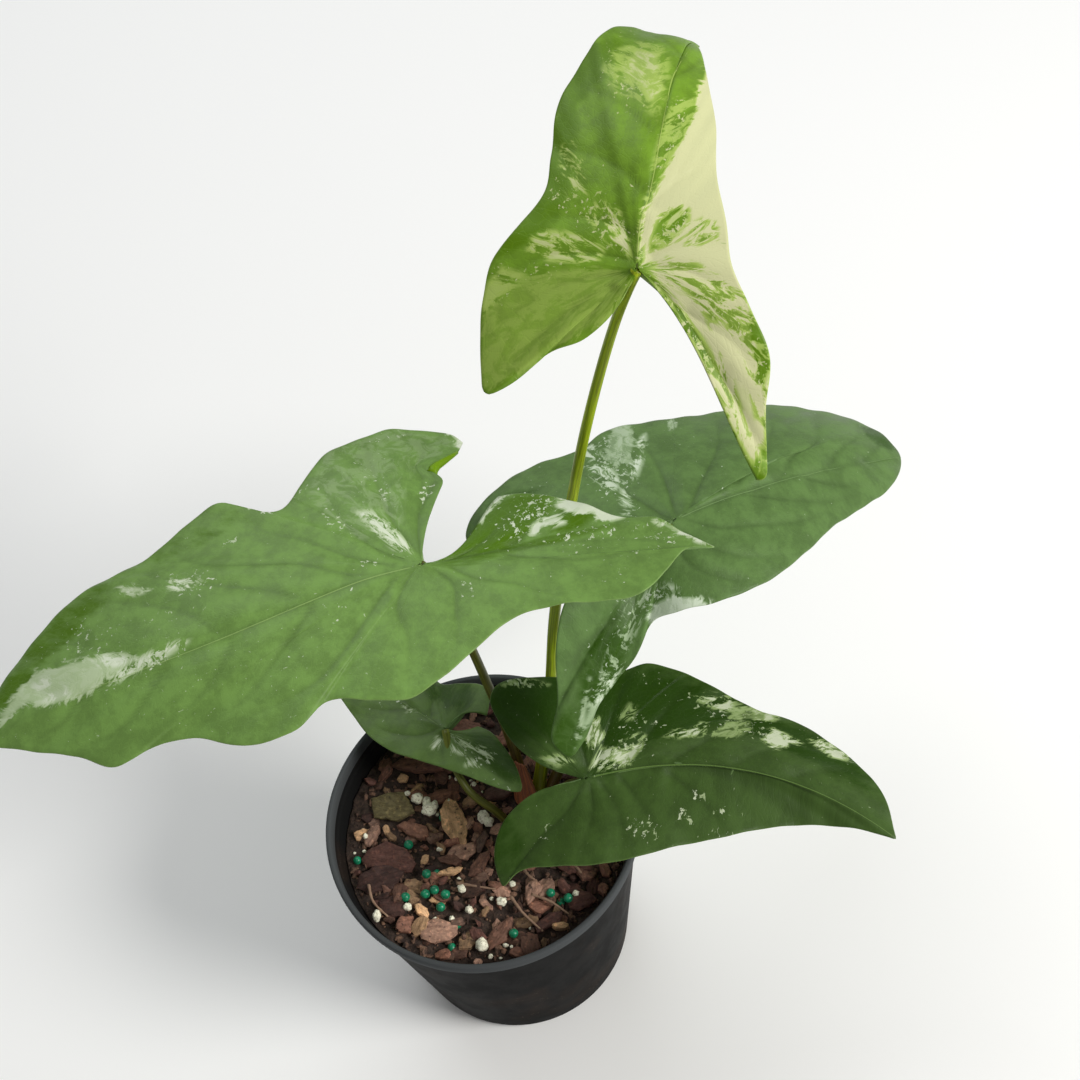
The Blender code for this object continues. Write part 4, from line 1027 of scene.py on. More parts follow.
def leaf_material(name):
    """Leaf skin: two greens, the second partly painted shade, ragged pale patches and flecks, fine
    veins darkened partly by painted shade in their creases, and a duller underside.
    """
    first, second, pale_green, cream, vein = LEAF_COLOURS[name]
    shade = Shade(f"leaf_skin_{name}")
    plan = shade.attribute("plan", "Vector")
    grain = shade.attribute("grain", "Vector")
    crease = shade.attribute("crease")
    under = shade.attribute("under")

    cloudy = shade.noise(plan, 0.12, 5.0, 0.70)
    green = shade.mix(shade.ease(cloudy, 0.36, 0.64), [0.83 * c for c in first],
                      [1.14 * c for c in first])
    streaky = shade.maths("MULTIPLY_ADD", shade.noise(grain, 0.30, 4.0, 0.6), 0.9)
    streaky.node.inputs[2].default_value = -0.45
    # Second green: partly the leaf's own darker green, partly painted shade on raised halves
    dark_and_shade_share = shade.ease(shade.maths("ADD", shade.attribute("dark_green_and_shade"), streaky), 0.25, 0.75)
    green = shade.mix(dark_and_shade_share, green, second)

    fleck_noise = shade.noise(plan, 0.62, 5.0, 0.66, 0.5)
    fleck_share = shade.maths("MULTIPLY", shade.attribute("flecks"), 0.26)
    fleck_limit = shade.maths("SUBTRACT", 0.68, fleck_share)
    flecks = shade.ease(shade.maths("SUBTRACT", fleck_noise, fleck_limit), 0.0, 0.035)
    fleck_colour = shade.mix(shade.ease(shade.noise(plan, 0.35, 2.0), 0.42, 0.58, 0.35, 1.0),
                             pale_green, cream)
    stroke = shade.ease(shade.noise(grain, 0.34, 5.0, 0.68, 0.7), 0.43, 0.57, -0.5, 0.5)
    pale = shade.maths("ADD", shade.attribute("paleness"),
                       shade.maths("MULTIPLY", shade.attribute("streaks"), stroke))

    network = shade.ease(shade.cells(shade.stretch(grain, (1.6, 1.0, 1.0)), 0.60), 0.0, 0.10)
    # Darker along the veins: partly painted shade in their creases, partly their own darker green
    green = shade.mix(shade.maths("MULTIPLY", crease, 0.5), green, [0.42 * c for c in first])
    green = shade.mix(shade.maths("MULTIPLY", shade.maths("SUBTRACT", 1.0, network), 0.10), green,
                      [1.35 * c for c in first])
    colour = shade.mix(shade.maths("MULTIPLY", flecks, 0.9), green, fleck_colour)
    colour = shade.mix(shade.ease(pale, 0.03, 0.52), colour, pale_green)
    colour = shade.mix(shade.ease(pale, 0.48, 0.92), colour, cream)
    colour = shade.mix(shade.maths("MULTIPLY", shade.attribute("rib"), 0.55), colour, vein)
    colour = shade.mix(shade.maths("MULTIPLY", shade.attribute("edge"), 0.35), colour, vein)
    colour = shade.mix(shade.attribute("fresh"), colour, FRESH_GREEN)
    dull = shade.mix(0.45, colour, bpy.context.scene.syngonium_blades.underside)
    colour = shade.mix(under, colour, dull)

    fine = shade.noise(plan, 2.2, 2.0)
    rough = shade.ease(shade.noise(plan, 0.12, 3.0), 0.3, 0.7, 0.40, 0.50)
    rough = shade.maths("ADD", rough, shade.maths("MULTIPLY", under, 0.16))
    shade.set(Base_Color=colour, Roughness=rough, Specular_IOR_Level=0.2)
    fine = shade.maths("MULTIPLY", fine, 0.5)
    shade.bump(shade.maths("ADD", shade.maths("MULTIPLY", network, 0.3), fine), 0.00008, 0.8)
    return shade.material


def blade_normals(grid, axes):
    """Unit normals of a grid of points, on the leaf's upper side."""
    normals = np.cross(np.gradient(grid, axis=0), np.gradient(grid, axis=1))
    normals /= np.maximum(np.linalg.norm(normals, axis=2), 1e-9)[..., None]
    middle = normals.reshape(-1, 3).mean(axis=0)
    return normals if middle @ axes[2] > 0 else -normals


def make_blade(name, leaf):
    """One blade: two faces with a thin edge, with its midrib drawn above and its ribs below."""
    settings = bpy.context.scene.syngonium_blades
    axes = leaf_axes(leaf)
    joint = np.array(leaf["joint"], dtype=float)
    margin = leaf_margin(leaf, settings.grid_step / MM, TIP_ROUNDING[name])
    lengths = np.hypot(margin[:, 0], margin[:, 1])
    shares = np.linspace(0.0, 1.0, settings.ring_count)[None, :] * (1 - EDGE_TAPER / lengths)[:, None]
    shares[:, 0] = HUB_SHARE
    shares = np.column_stack([shares, np.ones(len(margin))])
    plan = (margin[:, None, :2] * shares[..., None]).reshape(-1, 2)
    local = np.stack([spoke_points(margin, share, leaf) for share in shares.T], axis=1)
    shift = np.zeros((len(plan), 2))
    if name in NOTCHES:
        shift = notch_shift(plan, leaf["right_tip"], *NOTCHES[name])
    local[..., :2] += shift.reshape(*shares.shape, 2)
    sink, crease = vein_relief(plan, name)
    for x, y, reach, depth in DROOPS.get(name, []):
        sink += depth * np.exp(-((plan[:, 0] - x) ** 2 + (plan[:, 1] - y) ** 2) / reach**2)
    arc = np.cumsum(np.hypot(*np.diff(margin[:, :2], axis=0, prepend=margin[:1, :2]).T))
    ripple = RIPPLE * np.sin(arc / RIPPLE_LENGTHS[0]) * np.sin(arc / RIPPLE_LENGTHS[1] + 1.0)
    local[..., 2] += ripple[:, None] * shares**4 - sink.reshape(shares.shape)
    grid = joint + local @ axes
    normals = blade_normals(grid, axes)
    half = np.full(shares.shape, 0.5 * settings.thickness / MM)
    half += HUB_THICKENING * np.exp(-(shares * lengths[:, None] / HUB_RADIUS) ** 2)
    half[:, -1] *= EDGE_THINNESS
    offset = normals * half[..., None]
    points = [(grid + offset).reshape(-1, 3), (grid - offset).reshape(-1, 3)]
    faces = blade_faces(*shares.shape)
    count = len(plan)
    on_edge = np.zeros(shares.shape)
    on_edge[:, -1] = 1.0
    values = {key: [value, value] for key, value in leaf_marks(name, plan).items()}
    values |= {"crease": [crease, UNDERSIDE_CREASE * crease],
               "under": [np.zeros(count), np.ones(count)], "edge": [on_edge.ravel()] * 2,
               "rib": [np.zeros(count)] * 2, "fresh": [np.zeros(count)] * 2}
    used = 2 * count
    for vein, radii, below, sides, moved, look in drawn_veins(name, shift):
        route, flat, radii = vein_route(vein, leaf, margin, plan, normals.reshape(-1, 3), radii,
                                        below, sink, moved)
        tube_points, tube_faces = tube(route, radii, sides, used)
        used += len(tube_points)
        points.append(tube_points)
        faces += tube_faces
        for key, value in (leaf_marks(name, np.repeat(flat, sides, axis=0)) | look).items():
            values[key].append(np.full(len(tube_points), value) if np.ndim(value) == 0 else value)
    values = {key: np.concatenate(parts) for key, parts in values.items()}
    return add_piece(f"leaf_{name}", np.concatenate(points), faces, leaf_material(name),
                     replaced=[f"blade_{name}"], values=values)


def blade_faces(spokes, rings):
    """Faces of a closed blade: its upper and under side, edge, hub and the two sides of its cleft."""
    count = spokes * rings
    spoke, ring = np.meshgrid(np.arange(spokes - 1), np.arange(rings - 1), indexing="ij")
    a = (spoke * rings + ring).ravel()
    upper = np.stack([a, a + rings, a + rings + 1, a + 1], axis=1)
    lower = upper[:, ::-1] + count
    hub = np.arange(spokes - 1) * rings
    core = np.stack([hub, hub + count, hub + rings + count, hub + rings], axis=1)
    rim = hub + rings - 1
    edge = np.stack([rim, rim + rings, rim + rings + count, rim + count], axis=1)
    first = np.arange(rings - 1)
    last = first + (spokes - 1) * rings
    cleft = [np.stack([first, first + 1, first + 1 + count, first + count], axis=1),
             np.stack([last + 1, last, last + count, last + 1 + count], axis=1)]
    return np.concatenate([upper, lower, edge, core, *cleft]).tolist()


def drawn_veins(name, shift):
    """Each tube on a blade: its route on the flat leaf, radii, side, faces round it, shift and look."""
    drawn = [(VEINS[name][0], MIDRIB_RADII, False, VEIN_SIDES, shift, VEIN_LOOK)]
    for number, vein in enumerate(VEINS[name]):
        radii = RIB_RADII if number < MAIN_VEINS else SMALL_RIB_RADII
        drawn.append((vein, radii, True, VEIN_SIDES, shift, VEIN_LOOK | {"under": 1.0}))
    if name in ROLLED_EDGES:
        rolled, radii = ROLLED_EDGES[name]
        drawn.append((rolled, radii, False, ROLL_SIDES, np.zeros_like(shift), ROLLED_LOOK))
    return drawn


def notch_shift(plan, tip, place, depth, reach):
    """How far the points by the edge from joint to tip move into the blade, to leave a notch in it."""
    edge = np.array(tip[:2]) / np.hypot(*tip[:2])
    inwards = np.array([-edge[1], edge[0]])
    along = plan @ edge
    length = np.where(along < place, 0.5 * NOTCH_LENGTH, NOTCH_LENGTH)
    amount = depth * np.exp(-((along - place) / length) ** 2 - (plan @ inwards / reach) ** 2)
    return amount[:, None] * inwards


def vein_route(vein, leaf, margin, plan, normals, radii, below, relief, shift):
    """Route, places on the flat leaf and radii of one vein, on the upper or the lower face."""
    steps = max(6, round(curve_length(vein, 2) / VEIN_STEP))
    flat = smooth_curve(vein, steps, 2)
    local, places = on_blade(flat, leaf, margin)
    gaps = ((plan[None, :, :] - flat[:, None, :]) ** 2).sum(axis=2)
    facing = np.exp(-gaps / VEIN_BLUR) @ normals
    facing /= np.linalg.norm(facing, axis=1)[:, None]
    local[:, :2] += shift[gaps.argmin(axis=1)]
    local[:, 2] -= grid_relief(relief.reshape(len(margin), -1), places, below)
    share = np.linspace(0, 1, len(flat))
    radii = radii[0] + (radii[1] - radii[0]) * share**0.7
    half = 0.5 * bpy.context.scene.syngonium_blades.thickness / MM
    height = RIB_LEVEL * half - RIB_DEPTH * radii if below else half - MIDRIB_DEPTH * radii
    route = np.array(leaf["joint"]) + local @ leaf_axes(leaf) + facing * height[:, None]
    return route, flat, radii


def grid_relief(relief, places, deepest):
    """Sinking of the blade's faces at places on its spokes, or the deepest corner of the face there."""
    rings = relief.shape[1] - 2
    at = np.column_stack([places[:, 0], np.minimum(places[:, 1] * rings, rings)])
    low = np.minimum(at.astype(int), [len(relief) - 2, rings])
    spoke, ring = low.T
    corners = np.stack([relief[spoke, ring], relief[spoke + 1, ring],
                        relief[spoke, ring + 1], relief[spoke + 1, ring + 1]])
    if deepest:
        return corners.max(axis=0)
    f, g = (at - low).T
    return (corners * [(1 - f) * (1 - g), f * (1 - g), (1 - f) * g, f * g]).sum(axis=0)


def stalk_material(name):
    """Waxy stalk skin with long faint streaks, redder towards its foot."""
    tip, foot = STALK_COLOURS[name]
    shade = Shade(f"stalk_skin_{name}")
    along = shade.attribute("foot_share")
    streaks = shade.noise(shade.attribute("grain", "Vector"), 1.0, 4.0, 0.6)
    colour = shade.mix(shade.ease(along, 0.0, 0.85), tip, foot)
    colour = shade.mix(shade.ease(streaks, 0.42, 0.60, 0.0, 0.55), colour, [0.45 * c for c in tip])
    colour = shade.mix(shade.ease(streaks, 0.52, 0.38, 0.0, 0.4), colour, [1.7 * c for c in tip])
    shade.set(Base_Color=colour, Roughness=0.38, Specular_IOR_Level=0.25, Subsurface_Weight=0.08,
              Subsurface_Radius=(0.6, 1.0, 0.3), Subsurface_Scale=0.001)
    shade.bump(streaks, 0.00012, 0.5)
    return shade.material


def make_stalk(name, leaf):
    """A stalk from inside the crown to the underside of its blade, with a groove down its front."""
    sides = bpy.context.scene.syngonium_stalks.side_count
    rows = [np.array(row, dtype=float) for row in leaf["stalk"]]
    rows[0] = rows[0] - (rows[1] - rows[0]) / np.linalg.norm(rows[1] - rows[0]) * STALK_ROOT
    rows[-1] = rows[-1] - STALK_DROP * leaf_axes(leaf)[2]
    length = curve_length(rows, 3)
    route = smooth_curve(rows, round(length / STALK_STEP), 3)
    share = np.linspace(0, 1, len(route))
    foot_radius, top_radius = leaf["stalk_radii"]
    radii = foot_radius + (top_radius - foot_radius) * share
    radii += FOOT_FLARE * np.exp(-share * length / FOOT_LENGTH)
    radii += NECK_FLARE * np.exp(-((1 - share) * length / NECK_LENGTH) ** 2)
    points, faces = tube(route, radii, sides)
    points = points.reshape(len(route), sides, 3)
    around = np.arange(sides) * 2 * pi / sides
    groove = 1 - GROOVE_DEPTH * np.exp(-((around - pi) / GROOVE_WIDTH) ** 2)
    points = route[:, None, :] + (points - route[:, None, :]) * groove[None, :, None]
    grain = np.stack([np.repeat(share * length * STALK_GRAIN[0], sides),
                      np.tile(np.cos(around), len(route)) * STALK_GRAIN[1],
                      np.tile(np.sin(around), len(route)) * STALK_GRAIN[1]], axis=1)
    foot_share = np.repeat(np.exp(-share * length / FOOT_COLOUR_LENGTH), sides)
    return add_piece(f"stalk_{name}", points.reshape(-1, 3), faces, stalk_material(name),
                     replaced=[f"petiole_{name}"],
                     values={"grain": grain, "foot_share": foot_share})


# Pot


def wall_radius(height):
    """Outer radius of the pot's tapered wall."""
    band_start = POT_TOP - BAND_HEIGHT
    return BASE_RADIUS + (RIM_RADIUS - BAND_DEPTH - BASE_RADIUS) * height / band_start


def rounded(corners):
    """Round each (radius, height, rounding) corner of a profile with an arc-like curve."""
    path = []
    for number, (radius, height, rounding) in enumerate(corners):
        here = np.array([radius, height])
        if rounding == 0 or number in (0, len(corners) - 1):
            path.append(here)
            continue
        before = np.array(corners[number - 1][:2]) - here
        after = np.array(corners[number + 1][:2]) - here
        start = here + before / np.linalg.norm(before) * rounding
        end = here + after / np.linalg.norm(after) * rounding
        for step in range(ARC_STEPS + 1):
            f = step / ARC_STEPS
            path.append((1 - f) ** 2 * start + 2 * f * (1 - f) * here + f**2 * end)
    return path


def turned(profile, sides):
    """Points and faces of a profile of (radius, height) turned about the vertical axis."""
    profile = np.array(profile)
    angles = np.arange(sides) * 2 * pi / sides
    ring = np.stack([np.cos(angles), np.sin(angles)], axis=1)
    points = [(0.0, 0.0, profile[0][1])]
    for radius, height in profile[1:-1]:
        points += [(radius * x, radius * y, height) for x, y in ring]
    points.append((0.0, 0.0, profile[-1][1]))
    faces = ring_faces(1, len(profile) - 2, sides)
    top = len(points) - 1 - sides
    for step in range(sides):
        after = (step + 1) % sides
        faces.append((0, 1 + after, 1 + step))
        faces.append((top + step, top + after, len(points) - 1))
    return np.array(points), faces


def pot_profile():
    """The pot's section from the middle of its underside to the middle of its floor, inside."""
    band = POT_TOP - BAND_HEIGHT
    ledge = POT_TOP - LEDGE_DROP
    mouth = wall_radius(ledge) - POT_WALL + LEDGE_WIDTH
    floor_edge = wall_radius(POT_FLOOR) - POT_WALL
    return rounded([
        (0.0, 0.6, 0), (BASE_RADIUS - 6.0, 0.6, 0.4), (BASE_RADIUS - 5.2, 0.0, 0.4),
        (BASE_RADIUS - 1.2, 0.0, 0.9), (wall_radius(1.8), 1.8, 0.9),
        (wall_radius(10.0), 10.0, 0.3), (wall_radius(10.6), 10.6, 0.2),
        (wall_radius(band - 1.2), band - 1.2, 0.6), (wall_radius(band) + 0.2, band - 0.2, 0.3),
        (RIM_RADIUS - 0.15, band, 0.35), (RIM_RADIUS, POT_TOP - 2.0, 0.4),
        (RIM_RADIUS - 0.1, POT_TOP, 0.75), (mouth + 0.55, POT_TOP, 0.55),
        (mouth, POT_TOP - 1.6, 0.5), (mouth, ledge + 0.3, 0.4),
        (mouth - LEDGE_WIDTH, ledge - 0.4, 0.35), (floor_edge, POT_FLOOR, 0.9), (0.0, POT_FLOOR, 0)])


def pot_material():
    """Dark moulded plastic with faint scuffs, brown smudges that are partly a painted warm reflection,
    dust and a rim band made paler as painted sheen.
    """
    settings = bpy.context.scene.syngonium_pot
    shade = Shade("pot_plastic")
    place = shade.place()
    scuffs = shade.noise(shade.stretch(place, (90.0, 90.0, 60.0)), 1.0, 5.0, 0.65)
    smudges_and_reflection = shade.noise(place, 38.0, 4.0, 0.6, 0.6)
    dust = shade.ease(shade.noise(place, 900.0, 2.0), 0.62, 0.74, 0.0, 0.3)
    dusty = shade.maths("MULTIPLY", dust, shade.ease(smudges_and_reflection, 0.48, 0.66))
    # Brown smudges: partly smears on the plastic, partly a painted warm reflection
    colour = shade.mix(shade.ease(smudges_and_reflection, 0.45, 0.75, 0.0, 0.5), settings.colour,
                       (0.034, 0.022, 0.016))
    colour = shade.mix(dusty, colour, (0.13, 0.10, 0.08))
    height = shade.add("ShaderNodeSeparateXYZ", {"Vector": place}, 2)
    band = (POT_TOP - BAND_HEIGHT) * MM
    # Painted sheen: the rim band is paler than the wall
    colour = shade.mix(shade.ease(height, band - 0.0002, band + 0.0002), colour, settings.rim_sheen_colour)
    rough = shade.ease(scuffs, 0.35, 0.7, settings.roughness - 0.03, settings.roughness + 0.07)
    shade.set(Base_Color=colour, Roughness=rough, Specular_IOR_Level=0.003)
    shade.bump(shade.maths("ADD", scuffs, shade.maths("MULTIPLY", dust, 0.4)), 0.00003, 0.5)
    return shade.material


def make_pot():
    points, faces = turned(pot_profile(), bpy.context.scene.syngonium_pot.side_count)
    pot = add_piece("pot_shell", points, faces, pot_material(), replaced=["pot"])
    pegs = bmesh.new()
    for hole in range(DRAIN_HOLES):
        angle = 2 * pi * (hole + 0.5) / DRAIN_HOLES
        peg = bmesh.ops.create_cone(pegs, cap_ends=True, segments=DRAIN_SIDES,
                                    depth=8 * POT_FLOOR * MM,
                                    radius1=DRAIN_RADIUS * MM, radius2=DRAIN_RADIUS * MM)
        place = Vector((cos(angle), sin(angle), 0)) * DRAIN_CIRCLE * MM
        bmesh.ops.translate(pegs, vec=place, verts=peg["verts"])
    cut_with(pot, pegs)
    pot.data.set_sharp_from_angle(angle=radians(POT_SHARP_ANGLE))


def cut_with(piece, cutter_mesh):
    """Cut a shape out of a piece and keep the result as the piece's own mesh."""
    mesh = bpy.data.meshes.new("cutter")
    cutter_mesh.to_mesh(mesh)
    cutter_mesh.free()
    cutter = bpy.data.objects.new("cutter", mesh)
    bpy.context.scene.collection.objects.link(cutter)
    boolean = piece.modifiers.new("cut", "BOOLEAN")
    boolean.operation = "DIFFERENCE"
    boolean.solver = "EXACT"
    boolean.object = cutter
    evaluated = piece.evaluated_get(bpy.context.evaluated_depsgraph_get())
    whole = bpy.data.meshes.new_from_object(evaluated)
    piece.modifiers.clear()
    whole.name = piece.name
    piece.data = whole
    bpy.data.objects.remove(cutter, do_unlink=True)


# Potting mix


def bed_height(x, y):
    """Height of the fines between the chips."""
    height = SOIL_LEVEL - FINES_DROP
    for size, fineness in BED_LUMPS:
        height += size * noise.noise(Vector((x, y, 0.0)) * fineness)
    return height


def bed_material():
    settings = bpy.context.scene.syngonium_mix
    shade = Shade("damp_and_shaded_fines")
    place = shade.place()
    grains = shade.noise(place, 900.0, 4.0, 0.7)
    # Very dark fines: partly their own damp colour, partly painted shade between the chips
    colour = shade.mix(shade.ease(grains, 0.4, 0.7), settings.fines, (0.070, 0.040, 0.027))
    shade.set(Base_Color=colour, Roughness=0.85)
    shade.bump(grains, 0.0006, 1.0)
    return shade.material


def make_bed():
    """The body of the mix: rough fines on top, the pot's taper at its side and a flat base."""
    rings, sides = 110, 260
    gap = POT_WALL + MIX_CLEARANCE
    rim = wall_radius(SOIL_LEVEL) - gap
    points = [(0.0, 0.0, bed_height(0, 0))]
    for ring in range(1, rings + 1):
        for step in range(sides):
            angle = 2 * pi * step / sides
            x, y = rim * ring / rings * cos(angle), rim * ring / rings * sin(angle)
            points.append((x, y, bed_height(x, y)))
    base = POT_FLOOR + MIX_CLEARANCE
    for step in range(sides):
        angle = 2 * pi * step / sides
        radius = wall_radius(base) - gap
        points.append((radius * cos(angle), radius * sin(angle), base))
    points.append((0.0, 0.0, base))
    faces = [(face[0], *reversed(face[1:])) for face in ring_faces(1, rings + 1, sides)]
    low = 1 + rings * sides
    for step in range(sides):
        after = (step + 1) % sides
        faces.append((0, 1 + step, 1 + after))
        faces.append((low + step, len(points) - 1, low + after))
    add_piece("mix_bed", points, faces, bed_material(), replaced=["potting_mix"])


def chip_material():
    """Bark: layered grain along each chip, its own shade, pale scuffs and dark pits."""
    shade = Shade("bark")
    own = shade.attribute("shade", "Vector")
    grain = shade.attribute("grain", "Vector")
    layers = shade.noise(grain, 0.55, 5.0, 0.7)
    pits = shade.noise(shade.place(), 650.0, 4.0, 0.65)
    dark = shade.stretch(own, (0.42, 0.40, 0.40))
    scuffed = shade.stretch(own, (1.9, 1.8, 1.7))
    colour = shade.mix(shade.ease(layers, 0.32, 0.68, 0.0, 0.75), own, dark)
    colour = shade.mix(shade.ease(pits, 0.52, 0.70, 0.0, 0.6), colour, scuffed)
    colour = shade.mix(shade.ease(pits, 0.42, 0.30, 0.0, 0.8), colour, (0.018, 0.010, 0.008))
    shade.set(Base_Color=colour, Roughness=shade.ease(layers, 0.3, 0.7, 0.62, 0.92))
    shade.bump(shade.maths("ADD", layers, shade.maths("MULTIPLY", pits, 0.6)), 0.0005, 1.0)
    return shade.material


def chip_shape(draw, half_length, half_width, thickness):
    """Points and faces of a bark chip: a rough slab that lies flat about the origin."""
    corners = draw.randint(*CHIP_CORNERS)
    outline = []
    for corner in range(corners):
        angle = 2 * pi * (corner + draw.uniform(-0.3, 0.3)) / corners
        reach = draw.uniform(*CHIP_CORNER_REACH)
        outline.append(np.array([half_length * reach * cos(angle), half_width * reach * sin(angle)]))
    edge = []
    for a, b in zip(outline, outline[1:] + outline[:1]):
        steps = max(2, round(np.linalg.norm(b - a) / CHIP_EDGE_STEP))
        for step in range(steps):
            jitter = np.array([draw.uniform(-CHIP_JITTER, CHIP_JITTER) for _ in range(2)])
            edge.append(a + (b - a) * step / steps + jitter * (step > 0))
    edge = np.array(edge)
    count = len(edge)
    spot = draw.uniform(0, 500)
    points = []
    for scale, height in CHIP_LAYERS:
        for x, y in edge * scale:
            wobble = 0.35 * noise.noise(Vector((x * 0.5 + spot, y * 0.5, height * 3)))
            points.append((x, y, (height - 0.5) * thickness + wobble))
    for scale in (0.55, 0.25):
        for x, y in edge * scale:
            rough = 0.5 * noise.noise(Vector((x * 0.45 + spot, y * 1.1, 5.0)))
            points.append((x, y, 0.5 * thickness + 0.15 + rough))
    points.append((0.0, 0.0, 0.5 * thickness + 0.2))
    rows = len(CHIP_LAYERS) + 2
    faces = [tuple(reversed(range(count))), *ring_faces(0, rows, count)]
    low = (rows - 1) * count
    faces += [(low + step, low + (step + 1) % count, rows * count) for step in range(count)]
    return np.array(points), faces


def laid(points, place, turn, tilt, roll):
    """Turn points about the upright, tilt and roll them, and move them to place."""
    matrix = Matrix.Rotation(turn, 3, "Z") @ Matrix.Rotation(tilt, 3, "Y")
    matrix = matrix @ Matrix.Rotation(roll, 3, "X")
    return np.asarray(points) @ np.array(matrix).T + np.asarray(place)


def clear_of_stalks(x, y, reach):
    """True where something of that reach stays off the crown and the small stalk, inside the pot."""
    off_crown = np.hypot(x - CROWN[0], y - CROWN[1]) > CROWN_RADIUS + STALK_OVERLAP * reach
    foot = LEAVES["small_low"]["stalk"][1]
    off_stalk = np.hypot(x - foot[0], y - foot[1]) > SMALL_STALK_ROOM + STALK_OVERLAP * reach
    inside = np.hypot(x, y) + reach < wall_radius(SOIL_LEVEL) - POT_WALL - WALL_ROOM
    return off_crown and off_stalk and inside


def under_a_chip(x, y, chips):
    """True where a place lies under one of the chips."""
    for centre_x, centre_y, half_length, half_width, turn, *_ in chips:
        along = (x - centre_x) * cos(turn) + (y - centre_y) * sin(turn)
        across = (y - centre_y) * cos(turn) - (x - centre_x) * sin(turn)
        if abs(along) < COVERED_SHARE * half_length and abs(across) < COVERED_SHARE * half_width:
            return True
    return False


def make_chips(draw):
    """Large chips where they show, and smaller ones strewn between and over them."""
    large = []
    for x, y, half_length, half_width, turn, thickness, lift, shade in LARGE_CHIPS:
        tilt = -np.arcsin(min(0.5, lift / (2 * half_length)))
        large.append((x, y, half_length, half_width, radians(turn), thickness, tilt, shade))
    small = []
    shades = list(CHIP_SHADES)[1:]
    count = bpy.context.scene.syngonium_mix.chip_count
    for number in range(count):
        radius = (wall_radius(SOIL_LEVEL) - STREWN_MARGIN) * sqrt((number + 0.5) / count)
        angle = number * GOLDEN_ANGLE
        half_length = draw.uniform(*STREWN_LENGTHS) * draw.uniform(0.8, 1.25)
        x = radius * cos(angle) + draw.uniform(-STREWN_STRAY, STREWN_STRAY)
        y = radius * sin(angle) + draw.uniform(-STREWN_STRAY, STREWN_STRAY)
        half_width = half_length * draw.uniform(*STREWN_WIDTHS)
        small.append((x, y, half_length, half_width, draw.uniform(0, 2 * pi),
                      draw.uniform(*STREWN_THICKNESSES), draw.uniform(-STREWN_TILT, STREWN_TILT),
                      draw.choice(shades)))
    points, faces, grain, shade = [], [], [], []
    used = 0
    for number, chip in enumerate(large + small):
        x, y, half_length, half_width, turn, thickness, tilt, name = chip
        level = bed_height(x, y) + 0.5 * thickness
        if number < len(large):
            level += LARGE_CHIP_LIFT
        elif not clear_of_stalks(x, y, half_length):
            continue
        elif under_a_chip(x, y, large):
            level -= COVERED_CHIP_DROP
        shape, shape_faces = chip_shape(draw, half_length, half_width, thickness)
        points.append(laid(shape, (x, y, level), turn, tilt, draw.uniform(-CHIP_ROLL, CHIP_ROLL)))
        faces += [tuple(used + index for index in face) for face in shape_faces]
        used += len(shape)
        offset = draw.uniform(0, 90)
        grain.append(shape * np.array([0.35, 1.5, 2.4]) + offset)
        bright = draw.uniform(*CHIP_BRIGHTNESS)
        shade += [[bright * c for c in CHIP_SHADES[name]]] * len(shape)
    piece = add_piece("bark_chips", np.concatenate(points), faces, chip_material(),
                      values={"grain": np.concatenate(grain), "shade": np.array(shade)})
    piece.data.set_sharp_from_angle(angle=radians(CHIP_SHARP_ANGLE))


def lumps(places, subdivisions, rough, draw):
    """Points and faces of rough balls at (x, y, z, radius) places, all in one mesh."""
    ball = bmesh.new()
    bmesh.ops.create_icosphere(ball, subdivisions=subdivisions, radius=1.0)
    unit = [vert.co.copy() for vert in ball.verts]
    triangles = [tuple(vert.index for vert in face.verts) for face in ball.faces]
    ball.free()
    points, faces = [], []
    for x, y, z, radius in places:
        seed = Vector([draw.uniform(0, 400) for _ in range(3)])
        squash = Vector([draw.uniform(1 - rough, 1 + 0.5 * rough) for _ in range(3)])
        used = len(points)
        for way in unit:
            reach = radius * (1 + rough * noise.noise(way * 1.6 + seed))
            points.append((x + way.x * squash.x * reach, y + way.y * squash.y * reach,
                           z + way.z * squash.z * reach))
        faces += [tuple(used + index for index in face) for face in triangles]
    return points, faces


def strewn(draw, count, low, high, raised):
    """Places by chance on the mix, with radii between low and high and raised by a share of them."""
    places = []
    while len(places) < count:
        radius = (wall_radius(SOIL_LEVEL) - STREWN_MARGIN) * sqrt(draw.random())
        angle = draw.uniform(0, 2 * pi)
        x, y = radius * cos(angle), radius * sin(angle)
        size = low + (high - low) * draw.random() ** 2
        if clear_of_stalks(x, y, size):
            places.append((x, y, bed_height(x, y) + size * raised, size))
    return places


